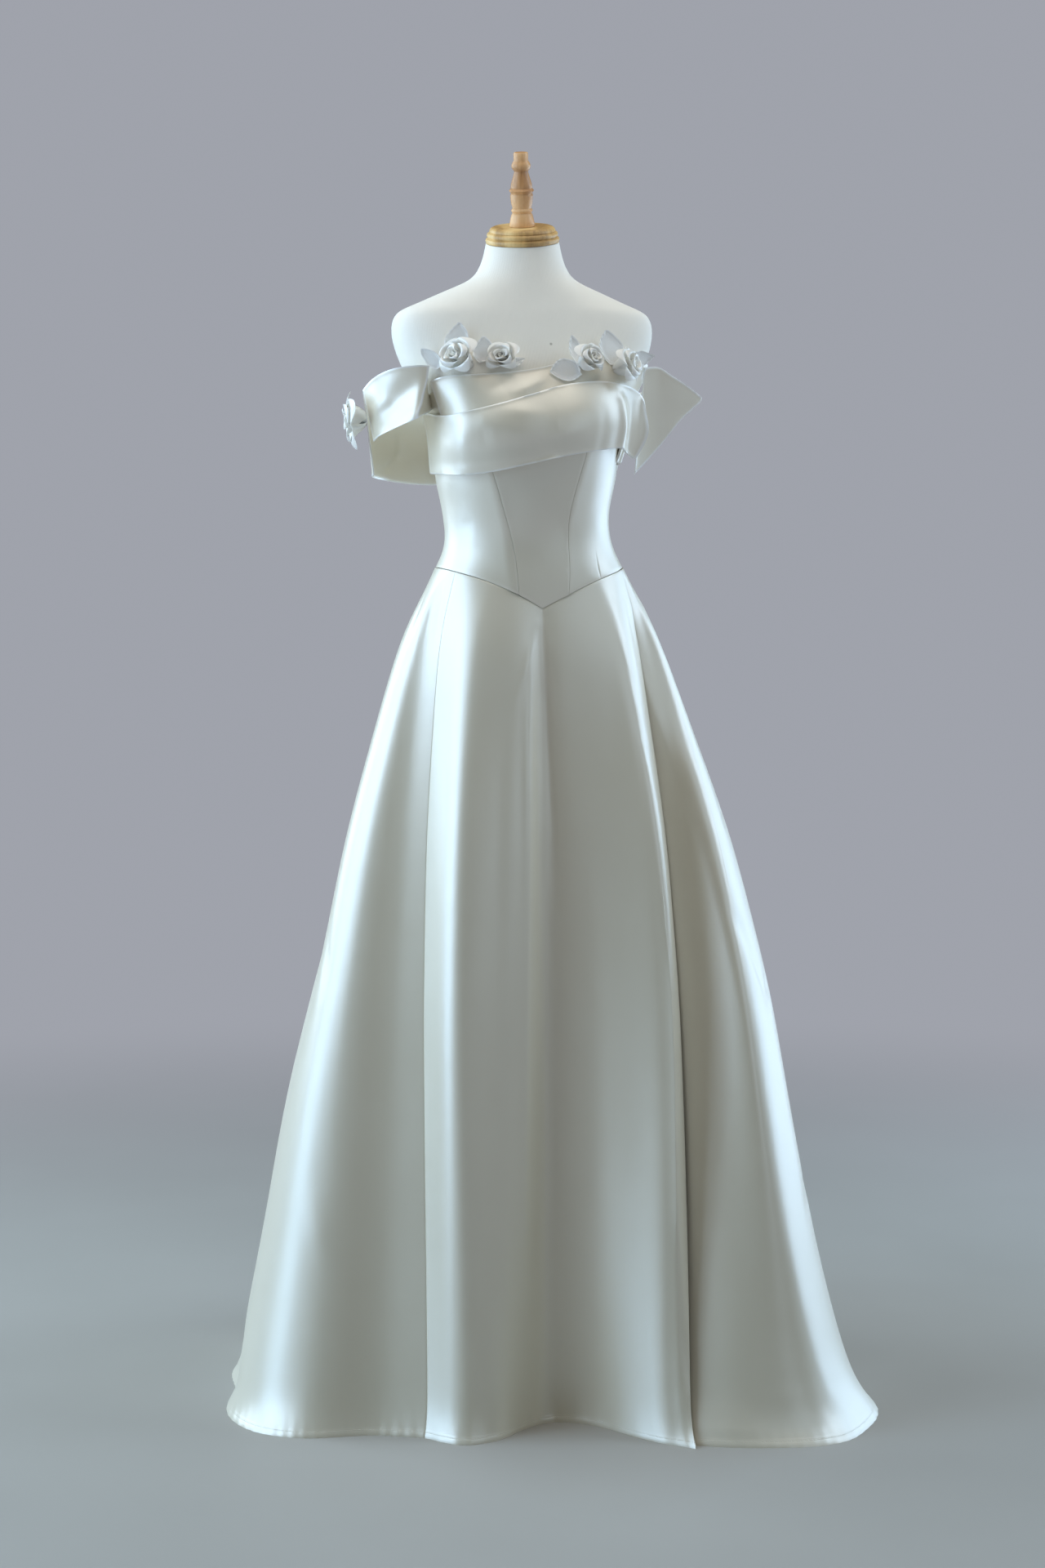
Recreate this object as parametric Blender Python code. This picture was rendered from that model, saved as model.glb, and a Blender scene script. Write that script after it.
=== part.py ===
"""A satin wedding dress standing on a limbless dress form.

Metres, +Z up. The front of the gown faces -Y and the wearer's left is +X. The
origin is the middle of the stand's underside, on the floor. An angle round the
body is in degrees, 0 at the centre front, growing towards +X. "Out" is how far
a point lies from the form's skin.
"""
from collections import namedtuple
import math

import bpy
from mathutils import Matrix, Vector

MM = 0.001

# ---------------------------------------------------------------- driving sizes
SEAM = 0.3 * MM            # gap between two pieces where they are sewn
LAY = 0.9 * MM             # gap between a layer and the one it lies on
SATIN = 1.6 * MM           # a satin panel
FOLDED_BAND = 2.2 * MM     # a band of satin folded double
ORGANZA = 1.0 * MM         # a stiffened sheer petal
RIBBON = 1.2 * MM          # the rolled strip of a rose

BODICE_IN = 0.8 * MM
BODICE_OUT = BODICE_IN + SATIN
BAND_IN = BODICE_OUT + LAY
BAND_OUT = BAND_IN + FOLDED_BAND

WAIST_POINT = 1.138        # height of the pointed waist at the centre front
WAIST_RISE = 0.056         # how much higher the waist seam is at the sides
WAIST_SIDE = WAIST_POINT + WAIST_RISE
FORM_BOTTOM = 0.960
PRESSED = 2.3 * MM         # how far the padding gives under the bodice
PRESSED_BELOW = 1.500
PRESSED_FADE = 0.030
NECK_TOP = 1.657
NECK_SLANT = math.radians(13)   # the neck is cut lower at the front,
LEAN_TOWARDS = math.radians(-18) # and a little lower at the right
SLANT_FROM = 1.602

SATIN_WHITE = (0.86, 0.87, 0.85, 1)
SHEER_WHITE = (0.90, 0.92, 0.93, 1)
JERSEY_CREAM = (0.84, 0.81, 0.72, 1)
TURNED_WOOD = (0.66, 0.44, 0.24, 1)
PAINTED_STEEL = (0.75, 0.74, 0.70, 1)
ZIP_NICKEL = (0.80, 0.80, 0.80, 1)

# ------------------------------------------------------------------- the tables
Section = namedtuple("Section", "z half_width front back square centre_y")
FORM = (
    Section(0.960, 0.1560, 0.098, 0.108, 2.20, -0.006),
    Section(0.990, 0.1620, 0.103, 0.116, 2.25, -0.007),
    Section(1.050, 0.1630, 0.105, 0.120, 2.25, -0.009),
    Section(1.120, 0.1530, 0.101, 0.111, 2.20, -0.012),
    Section(1.186, 0.1375, 0.096, 0.096, 2.15, -0.016),
    Section(1.206, 0.1275, 0.092, 0.087, 2.10, -0.017),
    Section(1.222, 0.1205, 0.090, 0.081, 2.10, -0.018),
    Section(1.247, 0.1168, 0.090, 0.077, 2.10, -0.018),
    Section(1.285, 0.1205, 0.099, 0.082, 2.10, -0.018),
    Section(1.323, 0.1290, 0.111, 0.089, 2.15, -0.017),
    Section(1.355, 0.1310, 0.120, 0.094, 2.20, -0.015),
    Section(1.390, 0.1335, 0.124, 0.097, 2.30, -0.012),
    Section(1.405, 0.1365, 0.122, 0.098, 2.35, -0.011),
    Section(1.420, 0.1425, 0.119, 0.099, 2.40, -0.009),
    Section(1.435, 0.1512, 0.115, 0.100, 2.50, -0.008),
    Section(1.450, 0.1610, 0.110, 0.100, 2.60, -0.006),
    Section(1.465, 0.1700, 0.105, 0.099, 2.70, -0.004),
    Section(1.480, 0.1770, 0.100, 0.098, 2.80, -0.003),
    Section(1.515, 0.1890, 0.088, 0.094, 2.90, 0.0),
    Section(1.544, 0.1905, 0.078, 0.088, 2.90, 0.0),
    Section(1.559, 0.1800, 0.073, 0.083, 2.80, 0.0),
    Section(1.568, 0.1560, 0.069, 0.080, 2.50, 0.0),
    Section(1.588, 0.1120, 0.063, 0.074, 2.20, 0.0),
    Section(1.602, 0.0760, 0.059, 0.069, 2.10, 0.0),
    Section(1.617, 0.0640, 0.056, 0.064, 2.00, 0.0),
    Section(1.635, 0.0568, 0.053, 0.058, 2.00, 0.0),
    Section(1.657, 0.0525, 0.050, 0.054, 2.00, 0.0),
)
# The padding is a little fuller at the left of the waist.
Sway = namedtuple("Sway", "z x")
SWAY = (Sway(1.070, 0.000), Sway(1.129, 0.0015), Sway(1.164, 0.0050), Sway(1.200, 0.0060),
        Sway(1.235, 0.0035), Sway(1.270, 0.000))
Bust = namedtuple("Bust", "angle z reach wide tall")
BUST = Bust(angle=33, z=1.385, reach=0.008, wide=24, tall=0.045)

# Where each bodice panel starts, at the waist seam and at the neckline.
Panel = namedtuple("Panel", "node waist_deg neck_deg columns")
BODICE = (
    Panel("bodice_back_right", -180, -180, 4),
    Panel("bodice_side_back_right", -146, -140, 5),
    Panel("bodice_side_front_right", -92, -92, 7),
    Panel("bodice_front_centre", -20, -44, 6),
    Panel("bodice_side_front_left", 20, 32, 7),
    Panel("bodice_side_back_left", 92, 92, 5),
    Panel("bodice_back_left", 146, 140, 4),
)
Edge = namedtuple("Edge", "angle z")
NECKLINE = (Edge(-180, 1.400), Edge(-120, 1.412), Edge(-88, 1.426), Edge(-62, 1.446),
            Edge(-20, 1.456), Edge(30, 1.470), Edge(62, 1.466), Edge(88, 1.430),
            Edge(120, 1.412), Edge(180, 1.400))
BODICE_ROWS = 11

# The skirt's flare: how much of the way from waist to hem its width has gone.
Flare = namedtuple("Flare", "z spread")
FLARE = (Flare(0.000, 1.000), Flare(0.030, 0.930), Flare(0.110, 0.850), Flare(0.200, 0.780),
         Flare(0.300, 0.715), Flare(0.430, 0.640), Flare(0.600, 0.545), Flare(0.700, 0.475),
         Flare(0.830, 0.385), Flare(0.933, 0.287), Flare(1.040, 0.191), Flare(1.120, 0.107),
         Flare(1.194, 0.000))
# Crests and hollows round the skirt. Swing above 1 keeps one near its place at the
# hem for longer. Belly pushes one out (+) or in (-) between the waist and the hem,
# and low does so near the hem alone. A gore starts where a node is named.
Fold = namedtuple("Fold", "name waist_deg hem_deg swing reach belly low gore")
FOLDS = (
    Fold("back_centre", -180, -180, 1.0, 0.470, -0.004, 0.000, "skirt_back_right"),
    Fold("back_crest_right", -164, -164, 1.0, 0.525, 0.010, 0.000, ""),
    Fold("back_hollow_right", -149, -149, 1.0, 0.455, -0.012, 0.000, ""),
    Fold("back_ridge_right", -135, -136, 1.0, 0.510, 0.010, 0.000, "skirt_side_back_right"),
    Fold("side_back_hollow_right", -119, -122, 1.0, 0.425, -0.010, 0.010, ""),
    Fold("side_ridge_right", -108, -110, 1.0, 0.436, 0.007, 0.019, ""),
    Fold("side_seam_right", -100, -97, 1.0, 0.422, -0.003, 0.020, "skirt_side_front_right"),
    Fold("corner_right", -93, -80, 1.0, 0.456, -0.001, 0.018, ""),
    Fold("front_turn_right", -86, -68, 1.0, 0.458, 0.004, 0.006, ""),
    Fold("front_slope_right", -79, -59, 1.0, 0.425, 0.000, 0.000, ""),
    Fold("front_hollow_right", -73, -50, 1.0, 0.350, -0.006, 0.000, ""),
    Fold("seam_right", -66, -38, 1.0, 0.322, -0.013, 0.000, "skirt_front_centre"),
    Fold("ridge_right", -43, -27, 1.0, 0.338, 0.013, 0.000, ""),
    Fold("ridge_slope", -30, -20, 1.0, 0.310, 0.006, 0.000, ""),
    Fold("low_ridge", -9, -12.5, 1.0, 0.250, 0.008, 0.000, ""),
    Fold("centre_hollow", 0, -4, 1.0, 0.222, -0.006, 0.000, ""),
    Fold("centre_rise", 16, 8, 1.0, 0.240, -0.006, 0.000, ""),
    Fold("ridge_flank", 40, 15.5, 1.0, 0.330, -0.002, 0.000, ""),
    Fold("ridge_left", 50, 20.6, 1.0, 0.398, 0.005, 0.000, ""),
    Fold("tuck_left", 72, 22.5, 1.0, 0.405, -0.028, 0.000, "skirt_side_front_left"),
    Fold("front_plane_left", 75, 30, 1.3, 0.485, -0.022, 0.000, ""),
    Fold("front_turn_left", 78, 41, 2.0, 0.540, 0.000, -0.004, ""),
    Fold("corner_left", 83, 50, 1.3, 0.543, 0.003, -0.004, ""),
    Fold("side_ridge_left", 89, 62, 1.1, 0.524, 0.003, -0.004, ""),
    Fold("side_seam_left", 98, 80, 1.0, 0.465, 0.000, 0.000, "skirt_side_back_left"),
    Fold("side_back_crest_left", 107, 96, 1.0, 0.495, 0.008, 0.000, ""),
    Fold("side_back_hollow_left", 120, 113, 1.0, 0.450, -0.010, 0.000, ""),
    Fold("back_ridge_left", 135, 130, 1.0, 0.510, 0.010, 0.000, "skirt_back_left"),
    Fold("back_hollow_left", 149, 146, 1.0, 0.455, -0.012, 0.000, ""),
    Fold("back_crest_left", 164, 163, 1.0, 0.525, 0.010, 0.000, ""),
)
FOLD_STEPS = 3
SKIRT_ROWS = (0, 0.03, 0.07, 0.12, 0.18, 0.25, 0.33, 0.42, 0.51, 0.60, 0.69, 0.78, 0.865, 0.935, 0.975, 1)
LOW_STARTS = 0.100         # the heights between which a fold's low push works
LOW_FADES = 0.390
LOW_ENDS = 0.630
BLEND = 0.055              # the skirt leaves the hips over this height
HIP_CLEAR = 4.5 * MM

# The folded bands: their edges, how far they puff off the bodice, and how far
# the low edge kicks out.
Band = namedtuple("Band", "angle top low puff kick")
UPPER_BAND = (Band(-65, 1.4570, 1.400, 0.0008, 0), Band(-58, 1.4625, 1.392, 0.0016, 0),
              Band(-41, 1.4635, 1.388, 0.0022, 0), Band(-20, 1.4670, 1.400, 0.0018, 0),
              Band(0, 1.4730, 1.414, 0.0018, 0), Band(27, 1.4840, 1.426, 0.0020, 0),
              Band(48, 1.4870, 1.430, 0.0012, 0), Band(70, 1.4840, 1.428, 0.0005, 0))
LOWER_BAND = (Band(-88, 1.4150, 1.328, 0.0010, 0), Band(-71, 1.4120, 1.327, 0.0015, 0),
              Band(-54, 1.4085, 1.326, 0.0040, 0), Band(-39, 1.4136, 1.3290, 0.0060, 0),
              Band(-11, 1.4320, 1.3415, 0.0060, 0), Band(23, 1.4490, 1.3570, 0.0065, 0),
              Band(41, 1.4530, 1.3640, 0.0060, 0.0030), Band(51, 1.4515, 1.3655, 0.0045, 0.0060),
              Band(57, 1.4495, 1.3620, 0.0015, 0.0050), Band(61, 1.4470, 1.3570, 0.0060, 0.0100),
              Band(65, 1.4440, 1.3510, 0.0170, 0.0180))
BACK_BAND_RIGHT = (Band(-180, 1.4050, 1.330, 0.0010, 0), Band(-150, 1.4080, 1.329, 0.0015, 0),
                   Band(-120, 1.4140, 1.328, 0.0015, 0), Band(-88, 1.4150, 1.328, 0.0010, 0))
BACK_BAND_LEFT = (Band(64, 1.4200, 1.345, 0.0015, 0), Band(75, 1.4220, 1.338, 0.0018, 0),
                  Band(88, 1.4240, 1.332, 0.0018, 0), Band(120, 1.4160, 1.330, 0.0015, 0),
                  Band(150, 1.4080, 1.330, 0.0015, 0), Band(180, 1.4050, 1.330, 0.0010, 0))

LAP_CLEAR = 2.2 * MM       # the lower band stands off the upper one by this
LAP_RUN = 12               # and climbs onto it over this many degrees

# The off-shoulder loops, column by column: the top edge and the low edge.
Loop = namedtuple("Loop", "top_deg top_out top_z low_deg low_out low_z")
SLEEVE_RIGHT_FRONT = (
    Loop(-75, 0.0040, 1.452, -76, 0.0040, 1.4185),
    Loop(-69, 0.0080, 1.466, -70, 0.0160, 1.412),
    Loop(-62, 0.0120, 1.477, -65, 0.0380, 1.404),
    Loop(-66, 0.0260, 1.477, -69, 0.0530, 1.398),
    Loop(-73, 0.0400, 1.473, -77, 0.0670, 1.388),
    Loop(-82, 0.0570, 1.461, -85, 0.0800, 1.380),
    Loop(-92, 0.0725, 1.446, -92, 0.0840, 1.373),
)
SLEEVE_RIGHT_BACK = (
    Loop(-94, 0.0735, 1.443, -97, 0.0870, 1.326),
    Loop(-104, 0.0740, 1.438, -107, 0.0950, 1.323),
    Loop(-118, 0.0700, 1.428, -120, 0.0860, 1.317),
    Loop(-132, 0.0480, 1.418, -133, 0.0560, 1.312),
    Loop(-144, 0.0165, 1.408, -144, 0.0185, 1.318),
    Loop(-153, 0.0088, 1.403, -153, 0.0088, 1.332),
)
SLEEVE_LEFT_FRONT = (
    Loop(67, 0.0060, 1.478, 68, 0.0280, 1.327),
    Loop(70, 0.0220, 1.480, 74, 0.0470, 1.352),
    Loop(72, 0.0400, 1.469, 76, 0.0660, 1.375),
    Loop(75, 0.0660, 1.456, 77, 0.0830, 1.400),
    Loop(79, 0.1020, 1.437, 79, 0.1050, 1.4305),
)
SLEEVE_LEFT_BACK = (
    Loop(80.3, 0.1020, 1.437, 80.3, 0.1050, 1.4305),
    Loop(86, 0.0890, 1.448, 87, 0.0990, 1.415),
    Loop(97, 0.0770, 1.456, 99, 0.0870, 1.392),
    Loop(112, 0.0640, 1.450, 114, 0.0700, 1.368),
    Loop(128, 0.0380, 1.435, 128, 0.0400, 1.350),
    Loop(139, 0.0170, 1.415, 139, 0.0175, 1.342),
    Loop(148, 0.0088, 1.406, 148, 0.0088, 1.338),
)
LOOP_STEPS = 2

# Roses: centre, size, how far the coil turns, and how the lower side is flattened.
Rose = namedtuple("Rose", "node angle z out radius turns start tall low_side")
ROSES = (
    Rose("rose_right_outer", -50.5, 1.4865, 0.0021, 0.0270, 2.5, 200, 0.019, 0.80),
    Rose("rose_right_inner", -29.0, 1.4840, 0.0018, 0.0215, 2.2, 20, 0.018, 0.78),
    Rose("rose_left_inner", 33.5, 1.4780, 0.0105, 0.0195, 2.3, 120, 0.018, 1.0),
    Rose("rose_left_outer", 52.5, 1.4760, 0.0078, 0.0205, 2.3, 300, 0.019, 1.0),
)
ROSE_COLUMNS = 26
# Petals: where the foot is, which way the petal points (0 up, 90 towards +X).
Petal = namedtuple("Petal", "node angle z layer points length width lift")
SKIN_LAYER = 0.4 * MM
BAND_LAYER = BAND_OUT + LAY
LAYER_STEP = ORGANZA + SEAM
PETALS = (
    Petal("petal_right_peak", -52.5, 1.4885, ("form", 0), -9, 0.048, 0.034, 0.006),
    Petal("petal_right_tip", -60.0, 1.4745, ("form", 0), -40, 0.034, 0.022, 0.006),
    Petal("petal_right_middle", -38.5, 1.4830, ("form", 0), -12, 0.035, 0.030, 0.003),
    Petal("petal_right_low", -26.0, 1.4790, ("form", 0), 78, 0.030, 0.014, 0.004),
    Petal("petal_left_band", 28.0, 1.4710, ("band", 1.1), -97, 0.048, 0.034, 0.002),
    Petal("petal_left_tip", 30.0, 1.4760, ("band", 2.1), -8, 0.040, 0.024, 0.005),
    Petal("petal_left_peak", 50.0, 1.4780, ("band", 0), 3, 0.048, 0.038, 0.004),
    Petal("petal_left_leaf", 59.0, 1.4840, ("band", 0), 70, 0.031, 0.022, 0.012),
)
PETAL_ROWS = 6
PETAL_COLUMNS = 4

# The rosette on the right sleeve faces outwards from the loop's end.
Rosette = namedtuple("Rosette", "angle z out tilt radius tall turns")
ROSETTE = Rosette(angle=-96, z=1.4055, out=0.0902, tilt=6.5, radius=0.039, tall=0.024, turns=2.4)

# Turned wood: heights and radii up the axis of the neck.
Turning = namedtuple("Turning", "height radius")
CAP = (Turning(0.0000, 0.0515), Turning(0.0040, 0.0528), Turning(0.0080, 0.0522),
       Turning(0.0092, 0.0496), Turning(0.0135, 0.0502), Turning(0.0160, 0.0484),
       Turning(0.0168, 0.0464), Turning(0.0205, 0.0458), Turning(0.0230, 0.0425))
FINIAL = (Turning(0.0000, 0.0184), Turning(0.0090, 0.0172), Turning(0.0178, 0.0150),
          Turning(0.0205, 0.0146), Turning(0.0228, 0.0152), Turning(0.0248, 0.0144),
          Turning(0.0268, 0.0132), Turning(0.0340, 0.0144), Turning(0.0414, 0.0160),
          Turning(0.0458, 0.0162), Turning(0.0492, 0.0178), Turning(0.0526, 0.0162),
          Turning(0.0570, 0.0146), Turning(0.0680, 0.0121), Turning(0.0772, 0.0104),
          Turning(0.0790, 0.0106), Turning(0.0850, 0.0134), Turning(0.0910, 0.0112),
          Turning(0.0925, 0.0104), Turning(0.1030, 0.0104), Turning(0.1045, 0.0092))
TURNED_SIDES = 18

BASE_RADIUS = 0.165
BASE = (Turning(0.0000, BASE_RADIUS - 0.003), Turning(0.0030, BASE_RADIUS),
        Turning(0.0120, BASE_RADIUS), Turning(0.0200, 0.120), Turning(0.0260, 0.040),
        Turning(0.0280, 0.024))
POLE_RADIUS = 0.0125
PLATE_TALL = 0.012
PLATE_RADIUS = 0.075

# The invisible zip's slider and its pull tab, at the top of the centre back.
ZIP_TOP = 1.392
SLIDER_WIDE = 8.0 * MM
SLIDER_LONG = 11.0 * MM
SLIDER_FLOOR = 1.6 * MM     # the plate that lies on the cloth
SLIDER_CHEEK = 1.3 * MM     # the two cheeks that hold the tab
SLIDER_DEEP = 4.4 * MM
TAB_HINGE_DOWN = 7.5 * MM   # from the slider's top to the tab's hinge
TAB_BARREL = 1.1 * MM
TAB_THICK = 1.5 * MM
TabWidth = namedtuple("TabWidth", "down wide")
TAB = (TabWidth(0.0000, 0.0046), TabWidth(0.0060, 0.0046), TabWidth(0.0110, 0.0056),
       TabWidth(0.0190, 0.0066), TabWidth(0.0230, 0.0056), TabWidth(0.0250, 0.0030))


# --------------------------------------------------------------------- helpers
class Column:
    """One column of a table, read by another on a curve that never overshoots."""

    def __init__(self, rows, key, value):
        pairs = sorted((getattr(row, key), getattr(row, value)) for row in rows)
        self.keys = [pair[0] for pair in pairs]
        self.values = [pair[1] for pair in pairs]
        steps = [b - a for a, b in zip(self.keys, self.keys[1:])]
        rates = [(b - a) / step for a, b, step in zip(self.values, self.values[1:], steps)]
        self.slopes = [rates[0]]
        for before, after in zip(rates, rates[1:]):
            turns = before * after <= 0
            self.slopes.append(0 if turns else 2 * before * after / (before + after))
        self.slopes.append(rates[-1])

    def __call__(self, key):
        keys = self.keys
        if key <= keys[0]:
            return self.values[0]
        if key >= keys[-1]:
            return self.values[-1]
        low = next(i for i in range(len(keys) - 1) if key <= keys[i + 1])
        width = keys[low + 1] - keys[low]
        return hermite(self.values[low], self.values[low + 1], self.slopes[low] * width,
                       self.slopes[low + 1] * width, (key - keys[low]) / width)


def hermite(start, end, leave, arrive, t):
    """A cubic from start to end with the given speeds."""
    return (start * (2 * t ** 3 - 3 * t ** 2 + 1) + leave * (t ** 3 - 2 * t ** 2 + t)
            + end * (3 * t ** 2 - 2 * t ** 3) + arrive * (t ** 3 - t ** 2))


def ease(t):
    """0 to 1 with soft ends."""
    t = min(1.0, max(0.0, t))
    return t * t * (3 - 2 * t)


def mix(a, b, t):
    return a + (b - a) * t


def curve_through(points, steps):
    """A smooth curve through points, with steps pieces between each two."""
    spans = [(b - a).length for a, b in zip(points, points[1:])]
    rates = [(b - a) / span for a, b, span in zip(points, points[1:], spans)]
    speeds = [rates[0]]
    for before, after, left, right in zip(rates, rates[1:], spans, spans[1:]):
        speeds.append((before * right + after * left) / (left + right))
    speeds.append(rates[-1])
    curve = []
    for i, span in enumerate(spans):
        for step in range(steps):
            curve.append(hermite(points[i], points[i + 1], speeds[i] * span,
                                 speeds[i + 1] * span, step / steps))
    curve.append(points[-1].copy())
    return curve


FORM_COLUMNS = {name: Column(FORM, "z", name) for name in Section._fields[1:]}
SWAY_TO_LEFT = Column(SWAY, "z", "x")


def skin_radius(angle, z):
    """Distance from the form's centre line to its skin."""
    turn = math.radians(angle)
    depth = FORM_COLUMNS["front" if math.cos(turn) > 0 else "back"](z)
    square = FORM_COLUMNS["square"](z)
    across = abs(math.sin(turn)) / FORM_COLUMNS["half_width"](z)
    along = abs(math.cos(turn)) / depth
    radius = (across ** square + along ** square) ** (-1 / square)
    aside = (abs(angle) - BUST.angle) / BUST.wide
    above = (z - BUST.z) / BUST.tall
    return radius + BUST.reach * math.exp(-aside ** 2 - above ** 2)


def around(angle, z, radius):
    """The point at an angle and a distance from the form's centre line."""
    turn = math.radians(angle)
    x = SWAY_TO_LEFT(z) + radius * math.sin(turn)
    return Vector((x, FORM_COLUMNS["centre_y"](z) - radius * math.cos(turn), z))


def skin(angle, z):
    angle = (angle + 180) % 360 - 180
    return around(angle, z, skin_radius(angle, z))


def on_body(angle, z, out=0.0):
    """A point on the skin, moved out square to it."""
    if out == 0:
        return skin(angle, z)
    side = skin(angle + 0.5, z) - skin(angle - 0.5, z)
    up = skin(angle, z + MM) - skin(angle, z - MM)
    return skin(angle, z) + side.cross(up).normalized() * out


def pressed(z):
    """How far the form's padding gives at a height."""
    return PRESSED * ease((PRESSED_BELOW - z) / PRESSED_FADE)


def waist_seam(angle):
    """Height of the waist seam, pointed at the centre front and level behind."""
    if abs(angle) > 90:
        return WAIST_SIDE
    return WAIST_POINT + WAIST_RISE * abs(math.sin(math.radians(angle)))


# ----------------------------------------------------------------- mesh makers
def material(name, colour, roughness, metallic=0.0):
    made = bpy.data.materials.new(name)
    made.use_nodes = True
    shader = made.node_tree.nodes["Principled BSDF"]
    shader.inputs["Base Color"].default_value = colour
    shader.inputs["Roughness"].default_value = roughness
    shader.inputs["Metallic"].default_value = metallic
    made.diffuse_color = colour
    return made


def volume(points, faces):
    """Six times the volume that triangles enclose, negative if inside out."""
    return sum(points[a].dot(points[b].cross(points[c])) for a, b, c in faces)


def add_object(name, points, faces, finish, smooth=True):
    if volume(points, faces) < 0:
        faces = [face[::-1] for face in faces]
    mesh = bpy.data.meshes.new(name)
    mesh.from_pydata(points, [], faces)
    mesh.materials.append(finish)
    if smooth:
        mesh.shade_smooth()
        mesh.set_sharp_from_angle(angle=math.radians(40))
    made = bpy.data.objects.new(name, mesh)
    bpy.context.scene.collection.objects.link(made)
    return made


def quad(a, b, c, d):
    return [(a, b, c), (a, c, d)]


def wall(name, outer, inner, finish):
    """A sheet of cloth: an outer and an inner grid of points, closed at its edges."""
    rows, columns = len(outer), len(outer[0])
    points = [point for grid in (outer, inner) for row in grid for point in row]

    def at(side, row, column):
        return (side * rows + row) * columns + column

    faces = []
    for row in range(rows - 1):
        for column in range(columns - 1):
            corners = ((row, column), (row, column + 1), (row + 1, column + 1), (row + 1, column))
            faces += quad(*(at(0, *corner) for corner in corners))
            faces += [face[::-1] for face in quad(*(at(1, *corner) for corner in corners))]
    rim = [(0, column) for column in range(columns)]
    rim += [(row, columns - 1) for row in range(1, rows)]
    rim += [(rows - 1, column) for column in reversed(range(columns - 1))]
    rim += [(row, 0) for row in reversed(range(1, rows - 1))]
    for one, two in zip(rim, rim[1:] + rim[:1]):
        faces += quad(at(0, *one), at(1, *one), at(1, *two), at(0, *two))
    return add_object(name, points, faces, finish)


def normals(grid, closed=False):
    """Unit normals of a grid whose rows go down and whose columns go towards +X."""
    rows, columns = len(grid), len(grid[0])
    found = []
    for row in range(rows):
        line = []
        for column in range(columns):
            before, after = column - 1, column + 1
            if closed:
                before, after = before % columns, after % columns
            else:
                before, after = max(before, 0), min(after, columns - 1)
            side = grid[row][after] - grid[row][before]
            up = grid[max(row - 1, 0)][column] - grid[min(row + 1, rows - 1)][column]
            line.append(side.cross(up).normalized())
        found.append(line)
    return found


def moved(grid, directions, distance):
    return [[point + direction * distance for point, direction in zip(row, line)]
            for row, line in zip(grid, directions)]


def narrowed(grid, gap):
    """A grid with its first and last column drawn in by a gap."""
    fresh = []
    for row in grid:
        row = [point.copy() for point in row]
        row[0] += (row[1] - row[0]).normalized() * gap
        row[-1] += (row[-2] - row[-1]).normalized() * gap
        fresh.append(row)
    return fresh


def turned(name, profile, sides, finish, place=Matrix.Identity(4)):
    """A solid turned on the Z axis from heights and radii, closed top and bottom."""
    points = []
    for ring in profile:
        for side in range(sides):
            turn = 2 * math.pi * side / sides
            points.append(place @ Vector((ring.radius * math.cos(turn),
                                          ring.radius * math.sin(turn), ring.height)))
    faces = []
    for ring in range(len(profile) - 1):
        for side in range(sides):
            after = (side + 1) % sides
            low, high = ring * sides, (ring + 1) * sides
            faces += quad(low + side, low + after, high + after, high + side)
    for start, flip in ((0, True), ((len(profile) - 1) * sides, False)):
        centre = len(points)
        height = profile[0].height if flip else profile[-1].height
        points.append(place @ Vector((0, 0, height)))
        for side in range(sides):
            fan = (centre, start + side, start + (side + 1) % sides)
            faces.append(fan[::-1] if flip else fan)
    return add_object(name, points, faces, finish)


# -------------------------------------------------------------------- the form
LEAN = Vector((math.sin(LEAN_TOWARDS), -math.cos(LEAN_TOWARDS), 0))


def make_form(jersey):
    """The torso: rings from the hips to the neck, whose last rings lean forward."""
    sides = 48
    heights = [section.z for section in FORM]
    points = []
    for z in heights:
        lean = ease((z - SLANT_FROM) / (NECK_TOP - SLANT_FROM))
        for side in range(sides):
            point = on_body(360 * side / sides - 180, z, -pressed(z))
            point.z -= lean * math.tan(NECK_SLANT) * LEAN.dot(point)
            points.append(point)
    faces = []
    for ring in range(len(heights) - 1):
        for side in range(sides):
            after = (side + 1) % sides
            low, high = ring * sides, (ring + 1) * sides
            faces += quad(low + side, low + after, high + after, high + side)
    for start, flip, z in ((0, True, heights[0]), ((len(heights) - 1) * sides, False, heights[-1])):
        centre = len(points)
        points.append(Vector((0, FORM_COLUMNS["centre_y"](z), z)))
        for side in range(sides):
            fan = (centre, start + side, start + (side + 1) % sides)
            faces.append(fan[::-1] if flip else fan)
    add_object("form_torso", points, faces, jersey)


def make_neck_cap_and_finial(wood):
    """Both stand square on the slanted top of the neck."""
    lean = Matrix.Rotation(NECK_SLANT, 4, Vector((0, 0, 1)).cross(LEAN))
    seat = Matrix.Translation((0, 0, NECK_TOP)) @ lean @ Matrix.Translation((0, 0, SEAM))
    turned("form_neck_cap", CAP, 2 * TURNED_SIDES, wood, seat)
    top = Matrix.Translation((0, 0, CAP[-1].height + SEAM))
    turned("form_finial", FINIAL, TURNED_SIDES, wood, seat @ top)


def make_stand(steel):
    turned("stand_base", BASE, 32, steel)
    pole = (Turning(BASE[-1].height + SEAM, POLE_RADIUS),
            Turning(FORM_BOTTOM - PLATE_TALL - 2 * SEAM, POLE_RADIUS))
    turned("stand_pole", pole, 16, steel)
    plate = (Turning(FORM_BOTTOM - PLATE_TALL - SEAM, PLATE_RADIUS),
             Turning(FORM_BOTTOM - SEAM, PLATE_RADIUS))
    turned("stand_plate", plate, 32, steel)


# ------------------------------------------------------------------ the bodice
NECK_EDGE = Column(NECKLINE, "angle", "z")


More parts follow.
